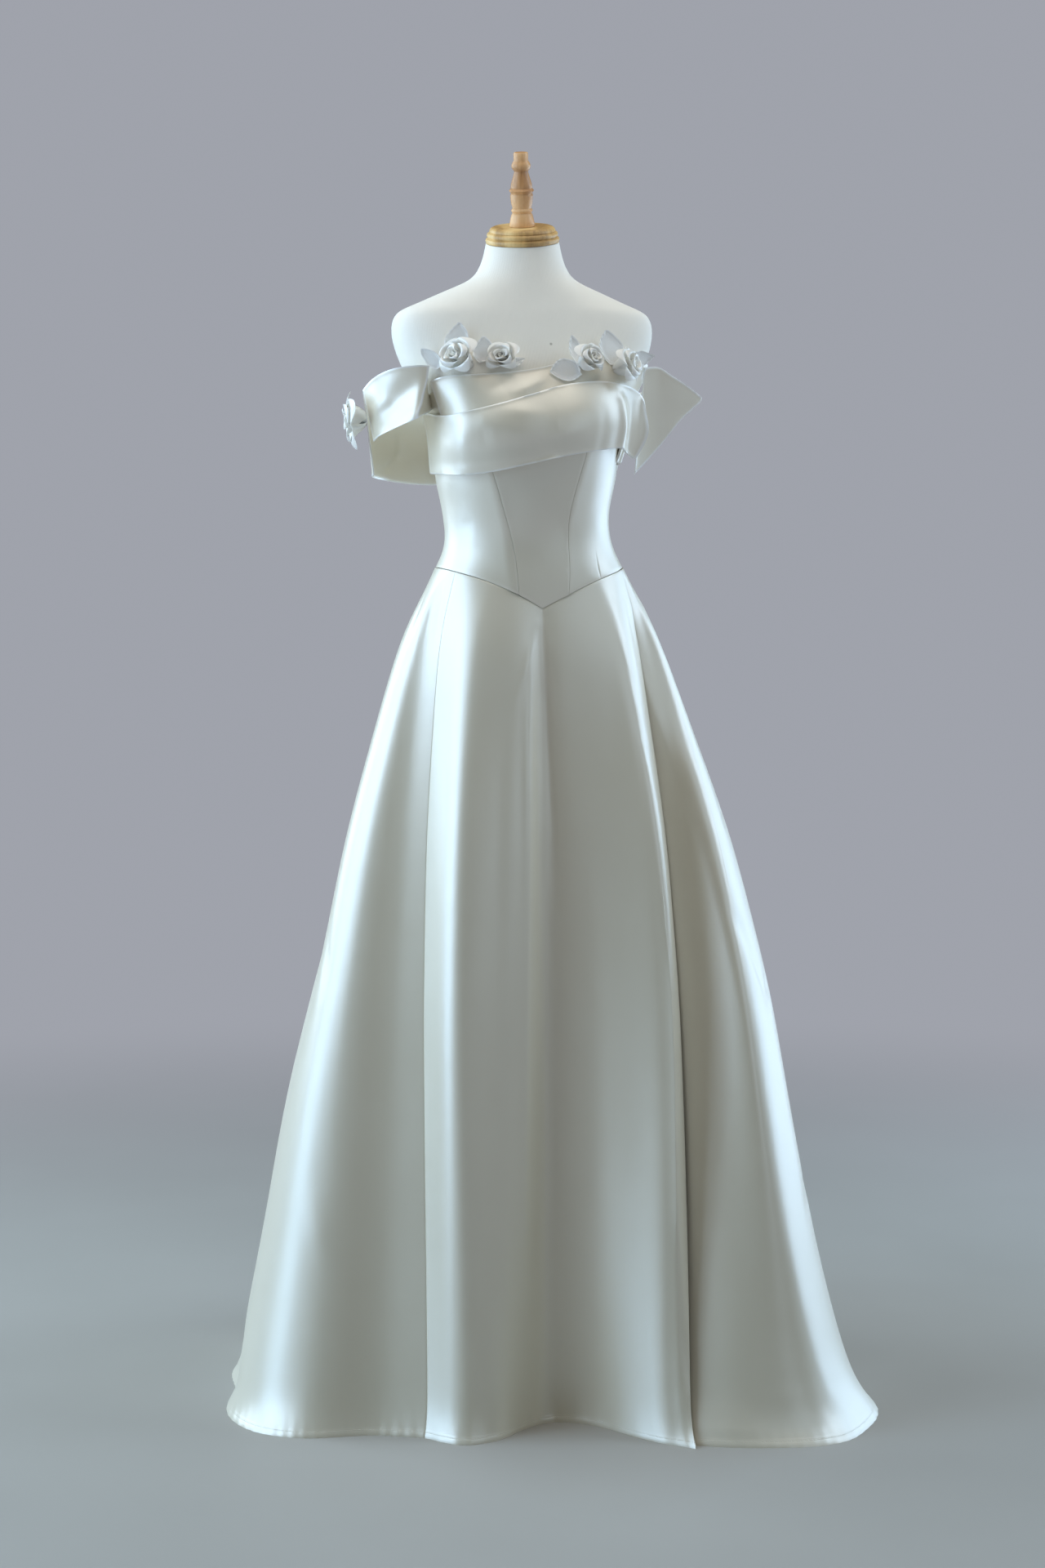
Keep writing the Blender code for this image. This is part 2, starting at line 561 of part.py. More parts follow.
def make_bodice(satin):
    """One grid round the body, cut into panels along the princess and side seams."""
    starts = list(BODICE) + [Panel("", 180, 180, 0)]
    marks = []
    for panel, after in zip(starts, starts[1:]):
        for column in range(panel.columns):
            share = column / panel.columns
            marks.append((mix(panel.waist_deg, after.waist_deg, share),
                          mix(panel.neck_deg, after.neck_deg, share)))
    rows = []
    for step in range(BODICE_ROWS):
        down = step / (BODICE_ROWS - 1)
        row = []
        for waist_deg, neck_deg in marks:
            angle = mix(neck_deg, waist_deg, down)
            z = mix(NECK_EDGE(neck_deg), waist_seam(waist_deg), down)
            row.append((angle, z))
        rows.append(row)
    outer = [[on_body(angle, z, BODICE_OUT) for angle, z in row] for row in rows]
    inner = [[on_body(angle, z, BODICE_IN) for angle, z in row] for row in rows]
    first = 0
    for panel in BODICE:
        picked = [(first + column) % len(marks) for column in range(panel.columns + 1)]
        cut = [[[row[i] for i in picked] for row in grid] for grid in (outer, inner)]
        wall(panel.node, narrowed(cut[0], SEAM / 2), narrowed(cut[1], SEAM / 2), satin)
        first += panel.columns


# ------------------------------------------------------------------- the skirt
SPREAD = Column(FLARE, "z", "spread")


def fold_point(fold, down):
    """Where one crest or hollow is, a share of the way down from the waist."""
    z = waist_seam(fold.waist_deg) * (1 - down)
    angle = mix(fold.hem_deg, fold.waist_deg, (1 - down) ** fold.swing)
    waist = skin_radius(fold.waist_deg, waist_seam(fold.waist_deg)) + BODICE_OUT
    radius = mix(waist, fold.reach, SPREAD(z)) + fold.belly * math.sin(math.pi * down)
    radius += fold.low * ease(z / LOW_STARTS) * (1 - ease((z - LOW_FADES) / (LOW_ENDS - LOW_FADES)))
    return around(angle, z, radius).to_2d()


def skirt_grid():
    """The whole skirt: a ring for each row, and where each gore's first column is."""
    turns = list(FOLDS) + [FOLDS[0]._replace(waist_deg=180, hem_deg=180)]
    seams = [i for i, fold in enumerate(turns[:-1]) if fold.gore] + [len(turns) - 1]
    tops = [mix(a.waist_deg, b.waist_deg, step / FOLD_STEPS)
            for a, b in zip(turns, turns[1:]) for step in range(FOLD_STEPS)]
    grid = []
    for down in SKIRT_ROWS:
        flat = []
        for start, end in zip(seams, seams[1:]):
            knots = [fold_point(fold, down) for fold in turns[start:end + 1]]
            flat += curve_through(knots, FOLD_STEPS)[:-1]
        row = []
        for top_deg, point in zip(tops, flat):
            top = waist_seam(top_deg) - SEAM
            z = top * (1 - down)
            centre = Vector((SWAY_TO_LEFT(z), FORM_COLUMNS["centre_y"](z)))
            angle = math.degrees(math.atan2(point.x - centre.x, centre.y - point.y))
            near = on_body(angle, z, BODICE_OUT).to_2d()
            leave = ease((top - z) / BLEND)
            radius = mix((near - centre).length, (point - centre).length, leave)
            if z > FORM_BOTTOM:
                radius = max(radius, skin_radius(angle, z) + mix(BODICE_OUT, HIP_CLEAR, leave))
            row.append(around(angle, z, radius))
        grid.append(row)
    return grid, seams


def make_skirt(satin):
    outer, seams = skirt_grid()
    inner = moved(outer, normals(outer, closed=True), -SATIN)
    for row_out, row_in, down in zip(outer, inner, SKIRT_ROWS):
        for point_out, point_in in zip(row_out, row_in):
            point_in.z = point_out.z
    count = len(outer[0])
    for start, end in zip(seams, seams[1:]):
        picked = [i % count for i in range(start * FOLD_STEPS, end * FOLD_STEPS + 1)]
        cut = [[[row[i] for i in picked] for row in grid] for grid in (outer, inner)]
        wall(FOLDS[start].gore, narrowed(cut[0], SEAM / 2), narrowed(cut[1], SEAM / 2), satin)


# ------------------------------------------------------------------- the bands
def band(name, table, inside, columns, satin, rows=5, hold=0.25):
    """A folded band on the body. It puffs between its two edges."""
    top, low, puff, kick = (Column(table, "angle", value) for value in Band._fields[1:])
    first, last = table[0].angle, table[-1].angle
    outer, inner = [], []
    for row in range(rows):
        down = row / (rows - 1)
        swell = mix(hold, 1, math.sin(math.pi * down))
        out_row, in_row = [], []
        for column in range(columns + 1):
            angle = mix(first, last, column / columns)
            z = mix(top(angle), low(angle), down)
            out = inside(angle, down) + puff(angle) * swell + kick(angle) * down
            out_row.append(on_body(angle, z, out + FOLDED_BAND))
            in_row.append(on_body(angle, z, out))
        outer.append(out_row)
        inner.append(in_row)
    wall(name, narrowed(outer, SEAM / 2), narrowed(inner, SEAM / 2), satin)


def make_bands(satin):
    """The lower band laps over the foot of the upper one, past the upper one's end."""
    upper_end = UPPER_BAND[0].angle
    over_upper = BAND_OUT + LAP_CLEAR

    def on_bodice(angle, down):
        return BAND_IN

    def lapped(angle, down):
        top = mix(BAND_IN, over_upper, ease((angle - upper_end + LAP_RUN) / LAP_RUN))
        return mix(top, BAND_IN + LAY, ease((down - 0.4) / 0.6))

    band("band_upper", UPPER_BAND, on_bodice, 22, satin)
    band("band_lower", LOWER_BAND, lapped, 30, satin)
    band("band_back_right", BACK_BAND_RIGHT, on_bodice, 12, satin, rows=4)
    band("band_back_left", BACK_BAND_LEFT, on_bodice, 22, satin, rows=4)


# ----------------------------------------------------------------- the sleeves
def off_body(angle, z, out):
    return around(angle, z, skin_radius(angle, z) + out)


def loop(name, table, satin, rows=4):
    """A strip that leaves the bodice, passes where an arm would be, and returns."""
    top = curve_through([off_body(r.top_deg, r.top_z, r.top_out) for r in table], LOOP_STEPS)
    low = curve_through([off_body(r.low_deg, r.low_z, r.low_out) for r in table], LOOP_STEPS)
    grid = [[mix(a, b, row / (rows - 1)) for a, b in zip(top, low)] for row in range(rows)]
    facing = normals(grid)
    wall(name, moved(grid, facing, SATIN / 2), moved(grid, facing, -SATIN / 2), satin)


def make_sleeves(satin):
    loop("sleeve_right_front", SLEEVE_RIGHT_FRONT, satin)
    loop("sleeve_right_back", SLEEVE_RIGHT_BACK, satin)
    loop("sleeve_left_front", SLEEVE_LEFT_FRONT, satin)
    loop("sleeve_left_back", SLEEVE_LEFT_BACK, satin)


# ----------------------------------------------------------------- the flowers
def placer(angle, z, out, on_form):
    """Turns flat measures, across, up and height, into a place on the form or gown."""
    degree = (on_body(angle + 1, z) - on_body(angle - 1, z)).length / 2

    def place(across, up, height):
        give = pressed(z + up) if on_form else 0
        return on_body(angle + across / degree, z + up, out + height - give)
    return place


def coil(name, place, radius, tall, turns, start, low_side, finish):
    """A rose: one strip rolled outwards, tall at its heart and open at its rim."""
    heart = 0.12
    grid = []
    for share in (1.0, 0.5, 0.0):
        row = []
        for column in range(ROSE_COLUMNS + 1):
            along = column / ROSE_COLUMNS
            turn = math.radians(start) + 2 * math.pi * turns * along
            reach = radius * mix(heart, 1, along ** 0.85)
            reach *= mix(0.80, 1.0, share ** 1.5)
            height = tall * mix(1.0, 0.62, along) * share
            across, up = reach * math.cos(turn), reach * math.sin(turn)
            if up < 0:
                up *= low_side
            row.append((across, up, height))
        grid.append(row)
    centre = [[Vector((across, up, 0)) for across, up, _ in row] for row in grid]
    outwards = []
    for row in centre:
        line = []
        for i, point in enumerate(row):
            along = row[min(i + 1, len(row) - 1)] - row[max(i - 1, 0)]
            line.append(Vector((along.y, -along.x, 0)).normalized())
        outwards.append(line)
    sides = []
    for offset in (RIBBON / 2, -RIBBON / 2):
        sides.append([[place(across + line.x * offset, up + line.y * offset, height)
                       for (across, up, height), line in zip(row, directions)]
                      for row, directions in zip(grid, outwards)])
    wall(name, sides[0], sides[1], finish)


def petal(row, finish):
    """A pointed leaf of sheer cloth, cupped along its length."""
    ground, layer = row.layer
    out = (SKIN_LAYER if ground == "form" else BAND_LAYER) + layer * LAYER_STEP
    place = placer(row.angle, row.z, out, ground == "form")
    ahead = Vector((math.sin(math.radians(row.points)), math.cos(math.radians(row.points))))
    side = Vector((ahead.y, -ahead.x))
    low, high = [], []
    for step in range(PETAL_ROWS):
        along = step / (PETAL_ROWS - 1)
        half = row.width / 2 * max(0.06, math.sin(math.pi * mix(0.14, 0.985, along)) ** 0.8)
        low_row, high_row = [], []
        for column in range(PETAL_COLUMNS + 1):
            across = 2 * column / PETAL_COLUMNS - 1
            flat = ahead * (row.length * along) + side * (half * across)
            height = row.lift * along ** 3
            low_row.append(place(flat.x, flat.y, height))
            high_row.append(place(flat.x, flat.y, height + ORGANZA))
        low.append(low_row)
        high.append(high_row)
    wall(row.node, high, low, finish)


def make_flowers(satin, sheer):
    for rose in ROSES:
        place = placer(rose.angle, rose.z, rose.out, rose.out < BODICE_OUT)
        coil(rose.node, place, rose.radius, rose.tall, rose.turns, rose.start, rose.low_side, satin)
    for row in PETALS:
        petal(row, sheer)
    middle = around(ROSETTE.angle, ROSETTE.z, skin_radius(ROSETTE.angle, ROSETTE.z) + ROSETTE.out)
    facing = Matrix.Rotation(math.radians(ROSETTE.angle), 3, "Z")
    facing @= Matrix.Rotation(math.radians(ROSETTE.tilt), 3, "X")

    def place(across, up, height):
        return middle + facing @ Vector((across, -height, up))
    coil("rosette_sleeve", place, ROSETTE.radius, ROSETTE.tall, ROSETTE.turns, 90, 1.0, satin)


# --------------------------------------------------------------------- the zip
def prism(name, low, high, caps, finish):
    """Joins two outlines with the same corners. The caps say how each end is closed."""
    count = len(low)
    faces = []
    for corner in range(count):
        after = (corner + 1) % count
        faces.append((corner, after, count + after, count + corner))
    for cap in caps:
        faces += [tuple(reversed(cap)), tuple(count + corner for corner in cap)]
    mesh = bpy.data.meshes.new(name)
    mesh.from_pydata(low + high, [], faces)
    mesh.materials.append(finish)
    made = bpy.data.objects.new(name, mesh)
    bpy.context.scene.collection.objects.link(made)
    return made


def make_zip(nickel):
    """The slider lies on the back seam. Its tab hangs by a barrel between two cheeks."""
    foot = ZIP_TOP - SLIDER_LONG
    back = max(on_body(180, z, BAND_OUT + BACK_BAND_LEFT[-1].puff).y for z in (foot, ZIP_TOP)) + SEAM
    half = SLIDER_WIDE / 2
    channel = ((-half, 0), (half, 0), (half, SLIDER_DEEP), (half - SLIDER_CHEEK, SLIDER_DEEP),
               (half - SLIDER_CHEEK, SLIDER_FLOOR), (-half + SLIDER_CHEEK, SLIDER_FLOOR),
               (-half + SLIDER_CHEEK, SLIDER_DEEP), (-half, SLIDER_DEEP))
    low = [Vector((x, back + y, foot)) for x, y in channel]
    high = [Vector((x, back + y, ZIP_TOP)) for x, y in channel]
    prism("zip_slider", low, high, [range(len(channel))], nickel)

    axis = Vector((0, back + SLIDER_FLOOR + TAB_BARREL + SEAM, ZIP_TOP - TAB_HINGE_DOWN))
    half_thick = TAB_THICK / 2
    open_angle = math.asin(half_thick / TAB_BARREL)
    turns = [mix(math.pi - open_angle, -math.pi + open_angle, step / 9) for step in range(10)]
    arc = [(TAB_BARREL * math.sin(turn), TAB_BARREL * math.cos(turn), TAB[0].wide) for turn in turns]
    side = [(half_thick, -row.down, row.wide) for row in TAB[1:]]
    loop_points = arc + [(-y, z, wide) for y, z, wide in side] + side[::-1]
    low = [axis + Vector((-wide / 2, y, z)) for y, z, wide in loop_points]
    high = [axis + Vector((wide / 2, y, z)) for y, z, wide in loop_points]
    count, root = len(loop_points), len(arc) - 1
    caps = [range(len(arc)), (root, root + 1, count - 1, 0)]
    caps += [(root + i, root + i + 1, count - i - 1, count - i) for i in range(1, len(side))]
    made = prism("zip_pull", low, high, caps, nickel)
    for vertex in made.data.vertices:
        vertex.co -= axis
    made.location = axis


# ------------------------------------------------------------------- the whole
def main():
    for thing in list(bpy.data.objects):
        bpy.data.objects.remove(thing)
    satin = material("satin", SATIN_WHITE, 0.32)
    sheer = material("organza", SHEER_WHITE, 0.45)
    jersey = material("jersey", JERSEY_CREAM, 0.85)
    wood = material("turned_wood", TURNED_WOOD, 0.5)
    steel = material("painted_steel", PAINTED_STEEL, 0.5)
    nickel = material("zip_nickel", ZIP_NICKEL, 0.3, 1.0)
    make_form(jersey)
    make_neck_cap_and_finial(wood)
    make_stand(steel)
    make_bodice(satin)
    make_skirt(satin)
    make_bands(satin)
    make_sleeves(satin)
    make_flowers(satin, sheer)
    make_zip(nickel)


main()
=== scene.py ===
# %% [markdown]
# # A satin wedding gown on its dress form
# The gown is sewn from flat pieces of heavy ivory satin: a boned bodice with a pointed
# waist, a skirt of seven gores, folded bands round the neckline, off-shoulder sleeves and
# hand-rolled roses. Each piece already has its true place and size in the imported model.
# Here every piece is made soft: rounded edges, creases, hems, stitches and real finishes.

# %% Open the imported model
import math
from collections import namedtuple

import bpy
import numpy as np
from mathutils import Matrix, Vector
from mathutils.kdtree import KDTree


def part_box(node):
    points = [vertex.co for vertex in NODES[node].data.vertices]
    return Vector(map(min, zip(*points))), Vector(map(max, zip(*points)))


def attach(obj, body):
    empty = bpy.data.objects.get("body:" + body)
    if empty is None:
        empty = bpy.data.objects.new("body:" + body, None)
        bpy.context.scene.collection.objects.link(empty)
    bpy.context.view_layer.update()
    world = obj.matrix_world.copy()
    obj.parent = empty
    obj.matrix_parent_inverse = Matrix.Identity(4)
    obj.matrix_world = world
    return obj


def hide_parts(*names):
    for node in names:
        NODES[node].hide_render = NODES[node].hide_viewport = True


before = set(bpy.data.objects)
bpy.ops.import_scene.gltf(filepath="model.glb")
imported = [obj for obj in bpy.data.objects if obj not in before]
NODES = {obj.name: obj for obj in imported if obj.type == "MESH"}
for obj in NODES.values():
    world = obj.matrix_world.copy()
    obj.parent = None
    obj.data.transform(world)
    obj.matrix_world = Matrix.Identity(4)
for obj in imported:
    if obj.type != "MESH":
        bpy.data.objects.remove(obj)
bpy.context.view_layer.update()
MM = 0.001
bpy.ops.object.select_all(action="DESELECT")
print("pieces in the packed model:", len(NODES))

# %% [markdown]
# ## Camera, floor and light
# The camera stands four and a half metres off, a little to the side, at chest height.
# Satin shows its folds by what it reflects. Tall cool windows stand left and right, and a
# little behind the gown, so each fold gets a bright side. A weak one nearer the camera
# keeps the front gore from going dull. A wide warm light hangs straight above, and the
# room is almost dark and warm, so the hollows stay a warm grey. The floor fades into the
# same grey as the backdrop, so the gown stands before a plain ground from every side.

# %% Camera
AXIS_DISTANCE = 4.5
CAMERA_HEIGHT = 1.27
CAMERA_TURN = math.radians(-13)
CAMERA_PITCH = math.radians(4.95)
camera_place = (AXIS_DISTANCE * math.sin(CAMERA_TURN), -AXIS_DISTANCE * math.cos(CAMERA_TURN),
                CAMERA_HEIGHT)
bpy.ops.object.camera_add(location=camera_place,
                          rotation=(math.pi / 2 - CAMERA_PITCH, 0, CAMERA_TURN))
camera = bpy.context.object
camera.data.lens = 71.46
camera.data.sensor_width = 36
bpy.context.scene.camera = camera
print("camera:", AXIS_DISTANCE, "metres off and", CAMERA_HEIGHT, "metres up")

# %% Light
Window = namedtuple("Window", "name turn distance height wide tall power colour")
WINDOWS = (
    Window("window_left", -76, 3.0, 1.7, 1.7, 2.9, 52, (0.55, 0.78, 1.0)),
    Window("window_left_near", -58, 3.0, 2.3, 1.4, 2.6, 26, (0.68, 0.85, 1.0)),
    Window("window_left_rear", -114, 3.0, 2.1, 1.9, 2.9, 60, (0.68, 0.86, 1.0)),
    Window("window_right", 92, 3.0, 2.8, 1.4, 2.6, 46, (0.68, 0.85, 1.0)),
    Window("window_right_rear", 124, 3.0, 1.1, 2.2, 2.2, 46, (0.58, 0.79, 1.0)),
    Window("window_right_near", 44, 3.0, 2.1, 1.3, 1.8, 7, (0.70, 0.87, 1.0)),
    Window("overhead", 0, 0.3, 3.3, 2.4, 2.4, 26, (1.0, 0.94, 0.84)),
)
LIT_HEIGHT = 0.95


def hang_window(window):
    """A tall soft light at a turn from the camera's side, aimed at the gown's middle."""
    turn = math.radians(window.turn) + CAMERA_TURN
    place = Vector((window.distance * math.sin(turn), -window.distance * math.cos(turn),
                    window.height))
    aim = Vector((0, 0, LIT_HEIGHT)) - place
    bpy.ops.object.light_add(type="AREA", location=place,
                             rotation=aim.to_track_quat("-Z", "Y").to_euler())
    lamp = bpy.context.object
    lamp.name = window.name
    lamp.data.shape = "RECTANGLE"
    lamp.data.size = window.wide
    lamp.data.size_y = window.tall
    lamp.data.energy = window.power
    lamp.data.color = window.colour
    lamp.visible_camera = False


for window in WINDOWS:
    hang_window(window)
print("soft lights:", len(WINDOWS))

# %% The room: the camera sees the backdrop's grey, and the gown is lit by a dark room
SKY = (0.35, 0.365, 0.41)
ROOM = (0.020, 0.016, 0.008)
world = bpy.data.worlds.new("studio")
world.use_nodes = True
sky_nodes = world.node_tree.nodes
sky_links = world.node_tree.links
eye = sky_nodes.new("ShaderNodeLightPath")
tone = sky_nodes.new("ShaderNodeMix")
tone.data_type = "RGBA"
tone.inputs[6].default_value = (*ROOM, 1)
tone.inputs[7].default_value = (*SKY, 1)
sky_links.new(eye.outputs["Is Camera Ray"], tone.inputs[0])
sky_links.new(tone.outputs[2], sky_nodes["Background"].inputs["Color"])
bpy.context.scene.world = world
bpy.context.scene.view_settings.view_transform = "Standard"
print("the backdrop's grey:", SKY)

# %% [markdown]
# ## Finishes written as sums
# A finish is a small network of nodes. Written out as links it is hard to read, so a
# wire, which is one value on its way, knows how to add, subtract, multiply and divide
# itself. An expression in Python then builds the nodes.


# %% Wires
class Wire:
    """One value or colour on its way through a finish."""

    def __init__(self, finish, socket):
        self.finish = finish
        self.socket = socket

    def sum(self, operation, one, two):
        """A new wire: the sum of two values, or another operation on them."""
        return self.finish.node("Math", {"operation": operation}, {0: one, 1: two})

    def __add__(self, other):
        return self.sum("ADD", self, other)

    def __radd__(self, other):
        return self.sum("ADD", other, self)

    def __sub__(self, other):
        return self.sum("SUBTRACT", self, other)

    def __rsub__(self, other):
        return self.sum("SUBTRACT", other, self)

    def __mul__(self, other):
        return self.sum("MULTIPLY", self, other)

    def __rmul__(self, other):
        return self.sum("MULTIPLY", other, self)

    def __truediv__(self, other):
        return self.sum("DIVIDE", self, other)


# %% Finishes
class Finish:
    """A material whose nodes come from expressions."""

    def __init__(self, name, **fixed):
        self.material = bpy.data.materials.new(name)
        self.material.use_nodes = True
        self.tree = self.material.node_tree
        self.shader = self.tree.nodes["Principled BSDF"]
        for socket, value in fixed.items():
            self.shader.inputs[socket.replace("_", " ")].default_value = value

    def node(self, kind, settings, sockets, output=0):
        """One node: its type, its settings, what goes into its sockets, what comes out."""
        made = self.tree.nodes.new("ShaderNode" + kind)
        for key, value in settings.items():
            if key == "stops":
                self.set_stops(made.color_ramp, value)
            else:
                setattr(made, key, value)
        for key, value in sockets.items():
            if isinstance(value, Wire):
                self.tree.links.new(value.socket, made.inputs[key])
            else:
                made.inputs[key].default_value = value
        return Wire(self, made.outputs[output])

    def set_stops(self, ramp, stops):
        """Gives a colour ramp its places and colours."""
        while len(ramp.elements) < len(stops):
            ramp.elements.new(0.5)
        for element, (place, colour) in zip(ramp.elements, stops):
            element.position = place
            element.color = (*colour, 1)

    def feed(self, socket, wire):
        """Leads a wire into a socket of the material's shader."""
        self.tree.links.new(wire.socket, self.shader.inputs[socket])

    def place(self, stretch=(1, 1, 1), turn=(0, 0, 0), uv=False):
        """Where a point of the piece is, stretched or turned for a pattern."""
        spot = self.node("TexCoord", {}, {}, "UV" if uv else "Object")
        return self.node("Mapping", {}, {"Vector": spot, "Scale": stretch, "Rotation": turn})

    def clouds(self, spot, scale, detail=2.0, rough=0.5):
        """Soft random patches between 0 and 1."""
        return self.node("TexNoise", {}, {"Vector": spot, "Scale": scale, "Detail": detail,
                                          "Roughness": rough})

    def fade(self, value, low, high, start=0.0, end=1.0):
        """Goes from start to end as a value goes from low to high."""
        return self.node("MapRange", {"clamp": True}, {"Value": value, "From Min": low,
                                                       "From Max": high, "To Min": start,
                                                       "To Max": end})

    def waves(self, spot, direction, scale, distortion, detail=2.0):
        """Parallel waves between 0 and 1."""
        return self.node("TexWave", {"bands_direction": direction},
                         {"Vector": spot, "Scale": scale, "Distortion": distortion,
                          "Detail": detail})

    def blend(self, share, one, two):
        """A colour between two colours."""
        return self.node("Mix", {"data_type": "RGBA"}, {0: share, 6: one, 7: two}, 2)

    def relief(self, height, depth):
        """Raises and sinks the surface by a height, in metres."""
        self.feed("Normal", self.node("Bump", {}, {"Height": height, "Strength": 1.0,
                                                   "Distance": depth}))


def rgb(red, green, blue):
    """A colour that nothing shows through."""
    return (red, green, blue, 1)


# %% [markdown]
# ## Satin
# Satin floats its warp threads over the surface, so it is smooth, bright where light
# grazes it and has a fine ribbing along the cloth. Its gloss is broad, so the roughness
# is middling, with a thin sharper coat on top, and it varies a little from place to place.
# Edges get a painted highlight, a paler colour, and a smoother gloss: an attribute named rim tells the
# finish how near an edge is.
# The ribbing follows the cloth through the piece's own UV map, where one unit is a metre.
# The roses' satin is thin, so some light passes through the petals.


# %% The satin finish
THREAD = 0.55 * MM
SATIN_IOR = 2.2
PAINTED_EDGE_HIGHLIGHT = (0.98, 0.98, 0.96)
RIM_STARTS = 0.30
RIM_WHOLE = 0.75
STITCH_HIGH = 7.5 * MM
STITCH_LONG = 3.0 * MM


def hem_stitches(satin):
    """A row of small stitches just above the skirt's edge, 1 on a stitch and 0 elsewhere."""
    flat = satin.node("TexCoord", {}, {}, "UV")
    run = satin.node("SeparateXYZ", {}, {"Vector": flat}, "X")
    rise = satin.node("SeparateXYZ", {}, {"Vector": flat}, "Y")
    off_line = satin.node("Math", {"operation": "ABSOLUTE"}, {0: rise - STITCH_HIGH})
    on_line = satin.fade(off_line, 0.2 * MM, 0.5 * MM, 1.0, 0.0)
    beat = satin.node("Math", {"operation": "PINGPONG"}, {0: run / STITCH_LONG, 1: 0.5})
    return on_line * satin.fade(beat, 0.06, 0.16)


def make_satin(name, light, shade, rough, ior=SATIN_IOR, stitches=False, **fixed):
    """Satin with soft patches, a painted highlight and smoother gloss near its edges, ribs, slubs and a
    faint crumple.
    """
    satin = Finish(name, IOR=ior, Specular_IOR_Level=1.0, Sheen_Weight=0.08,
                   Sheen_Roughness=0.35, **fixed)
    patches = satin.clouds(satin.place(), 9.0)
    near = satin.node("Attribute", {"attribute_name": "rim"}, {}, "Fac")
    # near an edge the colour turns paler, a painted highlight, and the roughness drops
    gloss_and_painted_highlight = satin.fade(near, RIM_STARTS, RIM_WHOLE)
    cloth = satin.blend(patches, rgb(*shade), rgb(*light))
    satin.feed("Base Color", satin.blend(gloss_and_painted_highlight, cloth, rgb(*PAINTED_EDGE_HIGHLIGHT)))
    satin.feed("Roughness", rough - 0.10 * gloss_and_painted_highlight + 0.07 * satin.clouds(satin.place(), 34.0, 3.0))
    across = satin.place(stretch=(1 / THREAD, 1 / THREAD, 1), uv=True)
    ribs = satin.waves(across, "X", 0.5, 0.6, 1.0)
    slubs = satin.clouds(satin.place(stretch=(260, 26, 1), uv=True), 1.0, 2.0)
    crumple = satin.clouds(satin.place(), 55.0, 2.0, 0.45)
    relief = 0.012 * ribs + 0.03 * slubs + 0.3 * crumple
    if stitches:
        relief = relief + 0.5 * hem_stitches(satin)
    satin.relief(relief, 0.4 * MM)
    return satin.material


IVORY = (0.84, 0.785, 0.64)
DEEP_IVORY = (0.80, 0.74, 0.59)
GOWN_SATIN = make_satin("gown_satin", IVORY, DEEP_IVORY, 0.36, Coat_Weight=0.06)
SKIRT_SATIN = make_satin("skirt_satin", IVORY, DEEP_IVORY, 0.36, stitches=True, Coat_Weight=0.06)
ROSE_SATIN = make_satin("rose_satin", (0.98, 0.97, 0.92), (0.97, 0.95, 0.88), 0.30, ior=1.6,
                        Coat_Weight=0.2, Subsurface_Weight=0.35, Subsurface_Scale=6 * MM,
                        Subsurface_Radius=(1.0, 0.92, 0.72))
print("nodes in the gown's satin:", len(GOWN_SATIN.node_tree.nodes))

# %% [markdown]
# ## Sheer petals
# The leaves round the roses are stiffened organza: you see a little through them, and
# their sealed rims are whiter than the middle. The distance to the rim is in the UV map.


# %% The organza finish
def make_organza():
    """A sheer weave that is denser and whiter along its sealed rim."""
    organza = Finish("organza", Coat_Weight=0.25, Coat_Roughness=0.2, Sheen_Weight=0.6)
    spot = organza.node("TexCoord", {}, {}, "UV")
    inwards = organza.node("SeparateXYZ", {}, {"Vector": spot}, "X")
    rim = organza.fade(inwards, 0.8 * MM, 2.4 * MM, 1.0, 0.0)
    weave = organza.waves(organza.place(), "DIAGONAL", 900.0, 1.0)
    organza.feed("Base Color", organza.blend(rim, rgb(0.94, 0.96, 0.98), rgb(0.99, 0.99, 0.98)))
    organza.feed("Roughness", 0.38 - 0.12 * rim)
    organza.feed("Alpha", 0.56 + 0.44 * rim + 0.06 * weave)
    organza.relief(0.5 * organza.clouds(organza.place(), 120.0) + 0.1 * weave, 0.3 * MM)
    return organza.material


ORGANZA = make_organza()
print("nodes in the organza:", len(ORGANZA.node_tree.nodes))

# %% [markdown]
# ## The form's jersey, the turned wood and the stand
# Jersey is a fine matt knit, drawn tight over padding, with one small worn spot. The wood
# shows rings where the tool cut across the grain, and a grain that runs with the tree.
# Paint on the stand has a faint orange-peel skin, and the zip's nickel has fine rubbing
# marks.


# %% Jersey
SPOT_PLACE = (0.0203, -0.0905, 1.509)
SPOT_RADIUS = 2.6 * MM


def make_jersey():
    """A pale matt knit with one small worn spot on the chest."""
    jersey = Finish("form_jersey", Sheen_Weight=0.25, Sheen_Roughness=0.6)
    worn = jersey.clouds(jersey.place(), 6.0, 4.0)
    clean = jersey.blend(worn, rgb(0.93, 0.905, 0.825), rgb(0.97, 0.945, 0.875))
    here = jersey.node("TexCoord", {}, {}, "Object")
    away = jersey.node("VectorMath", {"operation": "DISTANCE"}, {0: here, 1: SPOT_PLACE}, "Value")
    spot = jersey.fade(away, 0.4 * SPOT_RADIUS, SPOT_RADIUS, 0.7, 0.0)
    jersey.feed("Base Color", jersey.blend(spot, clean, rgb(0.34, 0.32, 0.28)))
    knit = jersey.waves(jersey.place(), "Z", 260.0, 2.0)
    ribs = jersey.waves(jersey.place(), "X", 200.0, 2.0)
    jersey.feed("Roughness", 0.74 + 0.12 * worn)
    jersey.relief(0.5 * knit + 0.5 * ribs + jersey.clouds(jersey.place(), 40.0), 0.25 * MM)
    return jersey.material


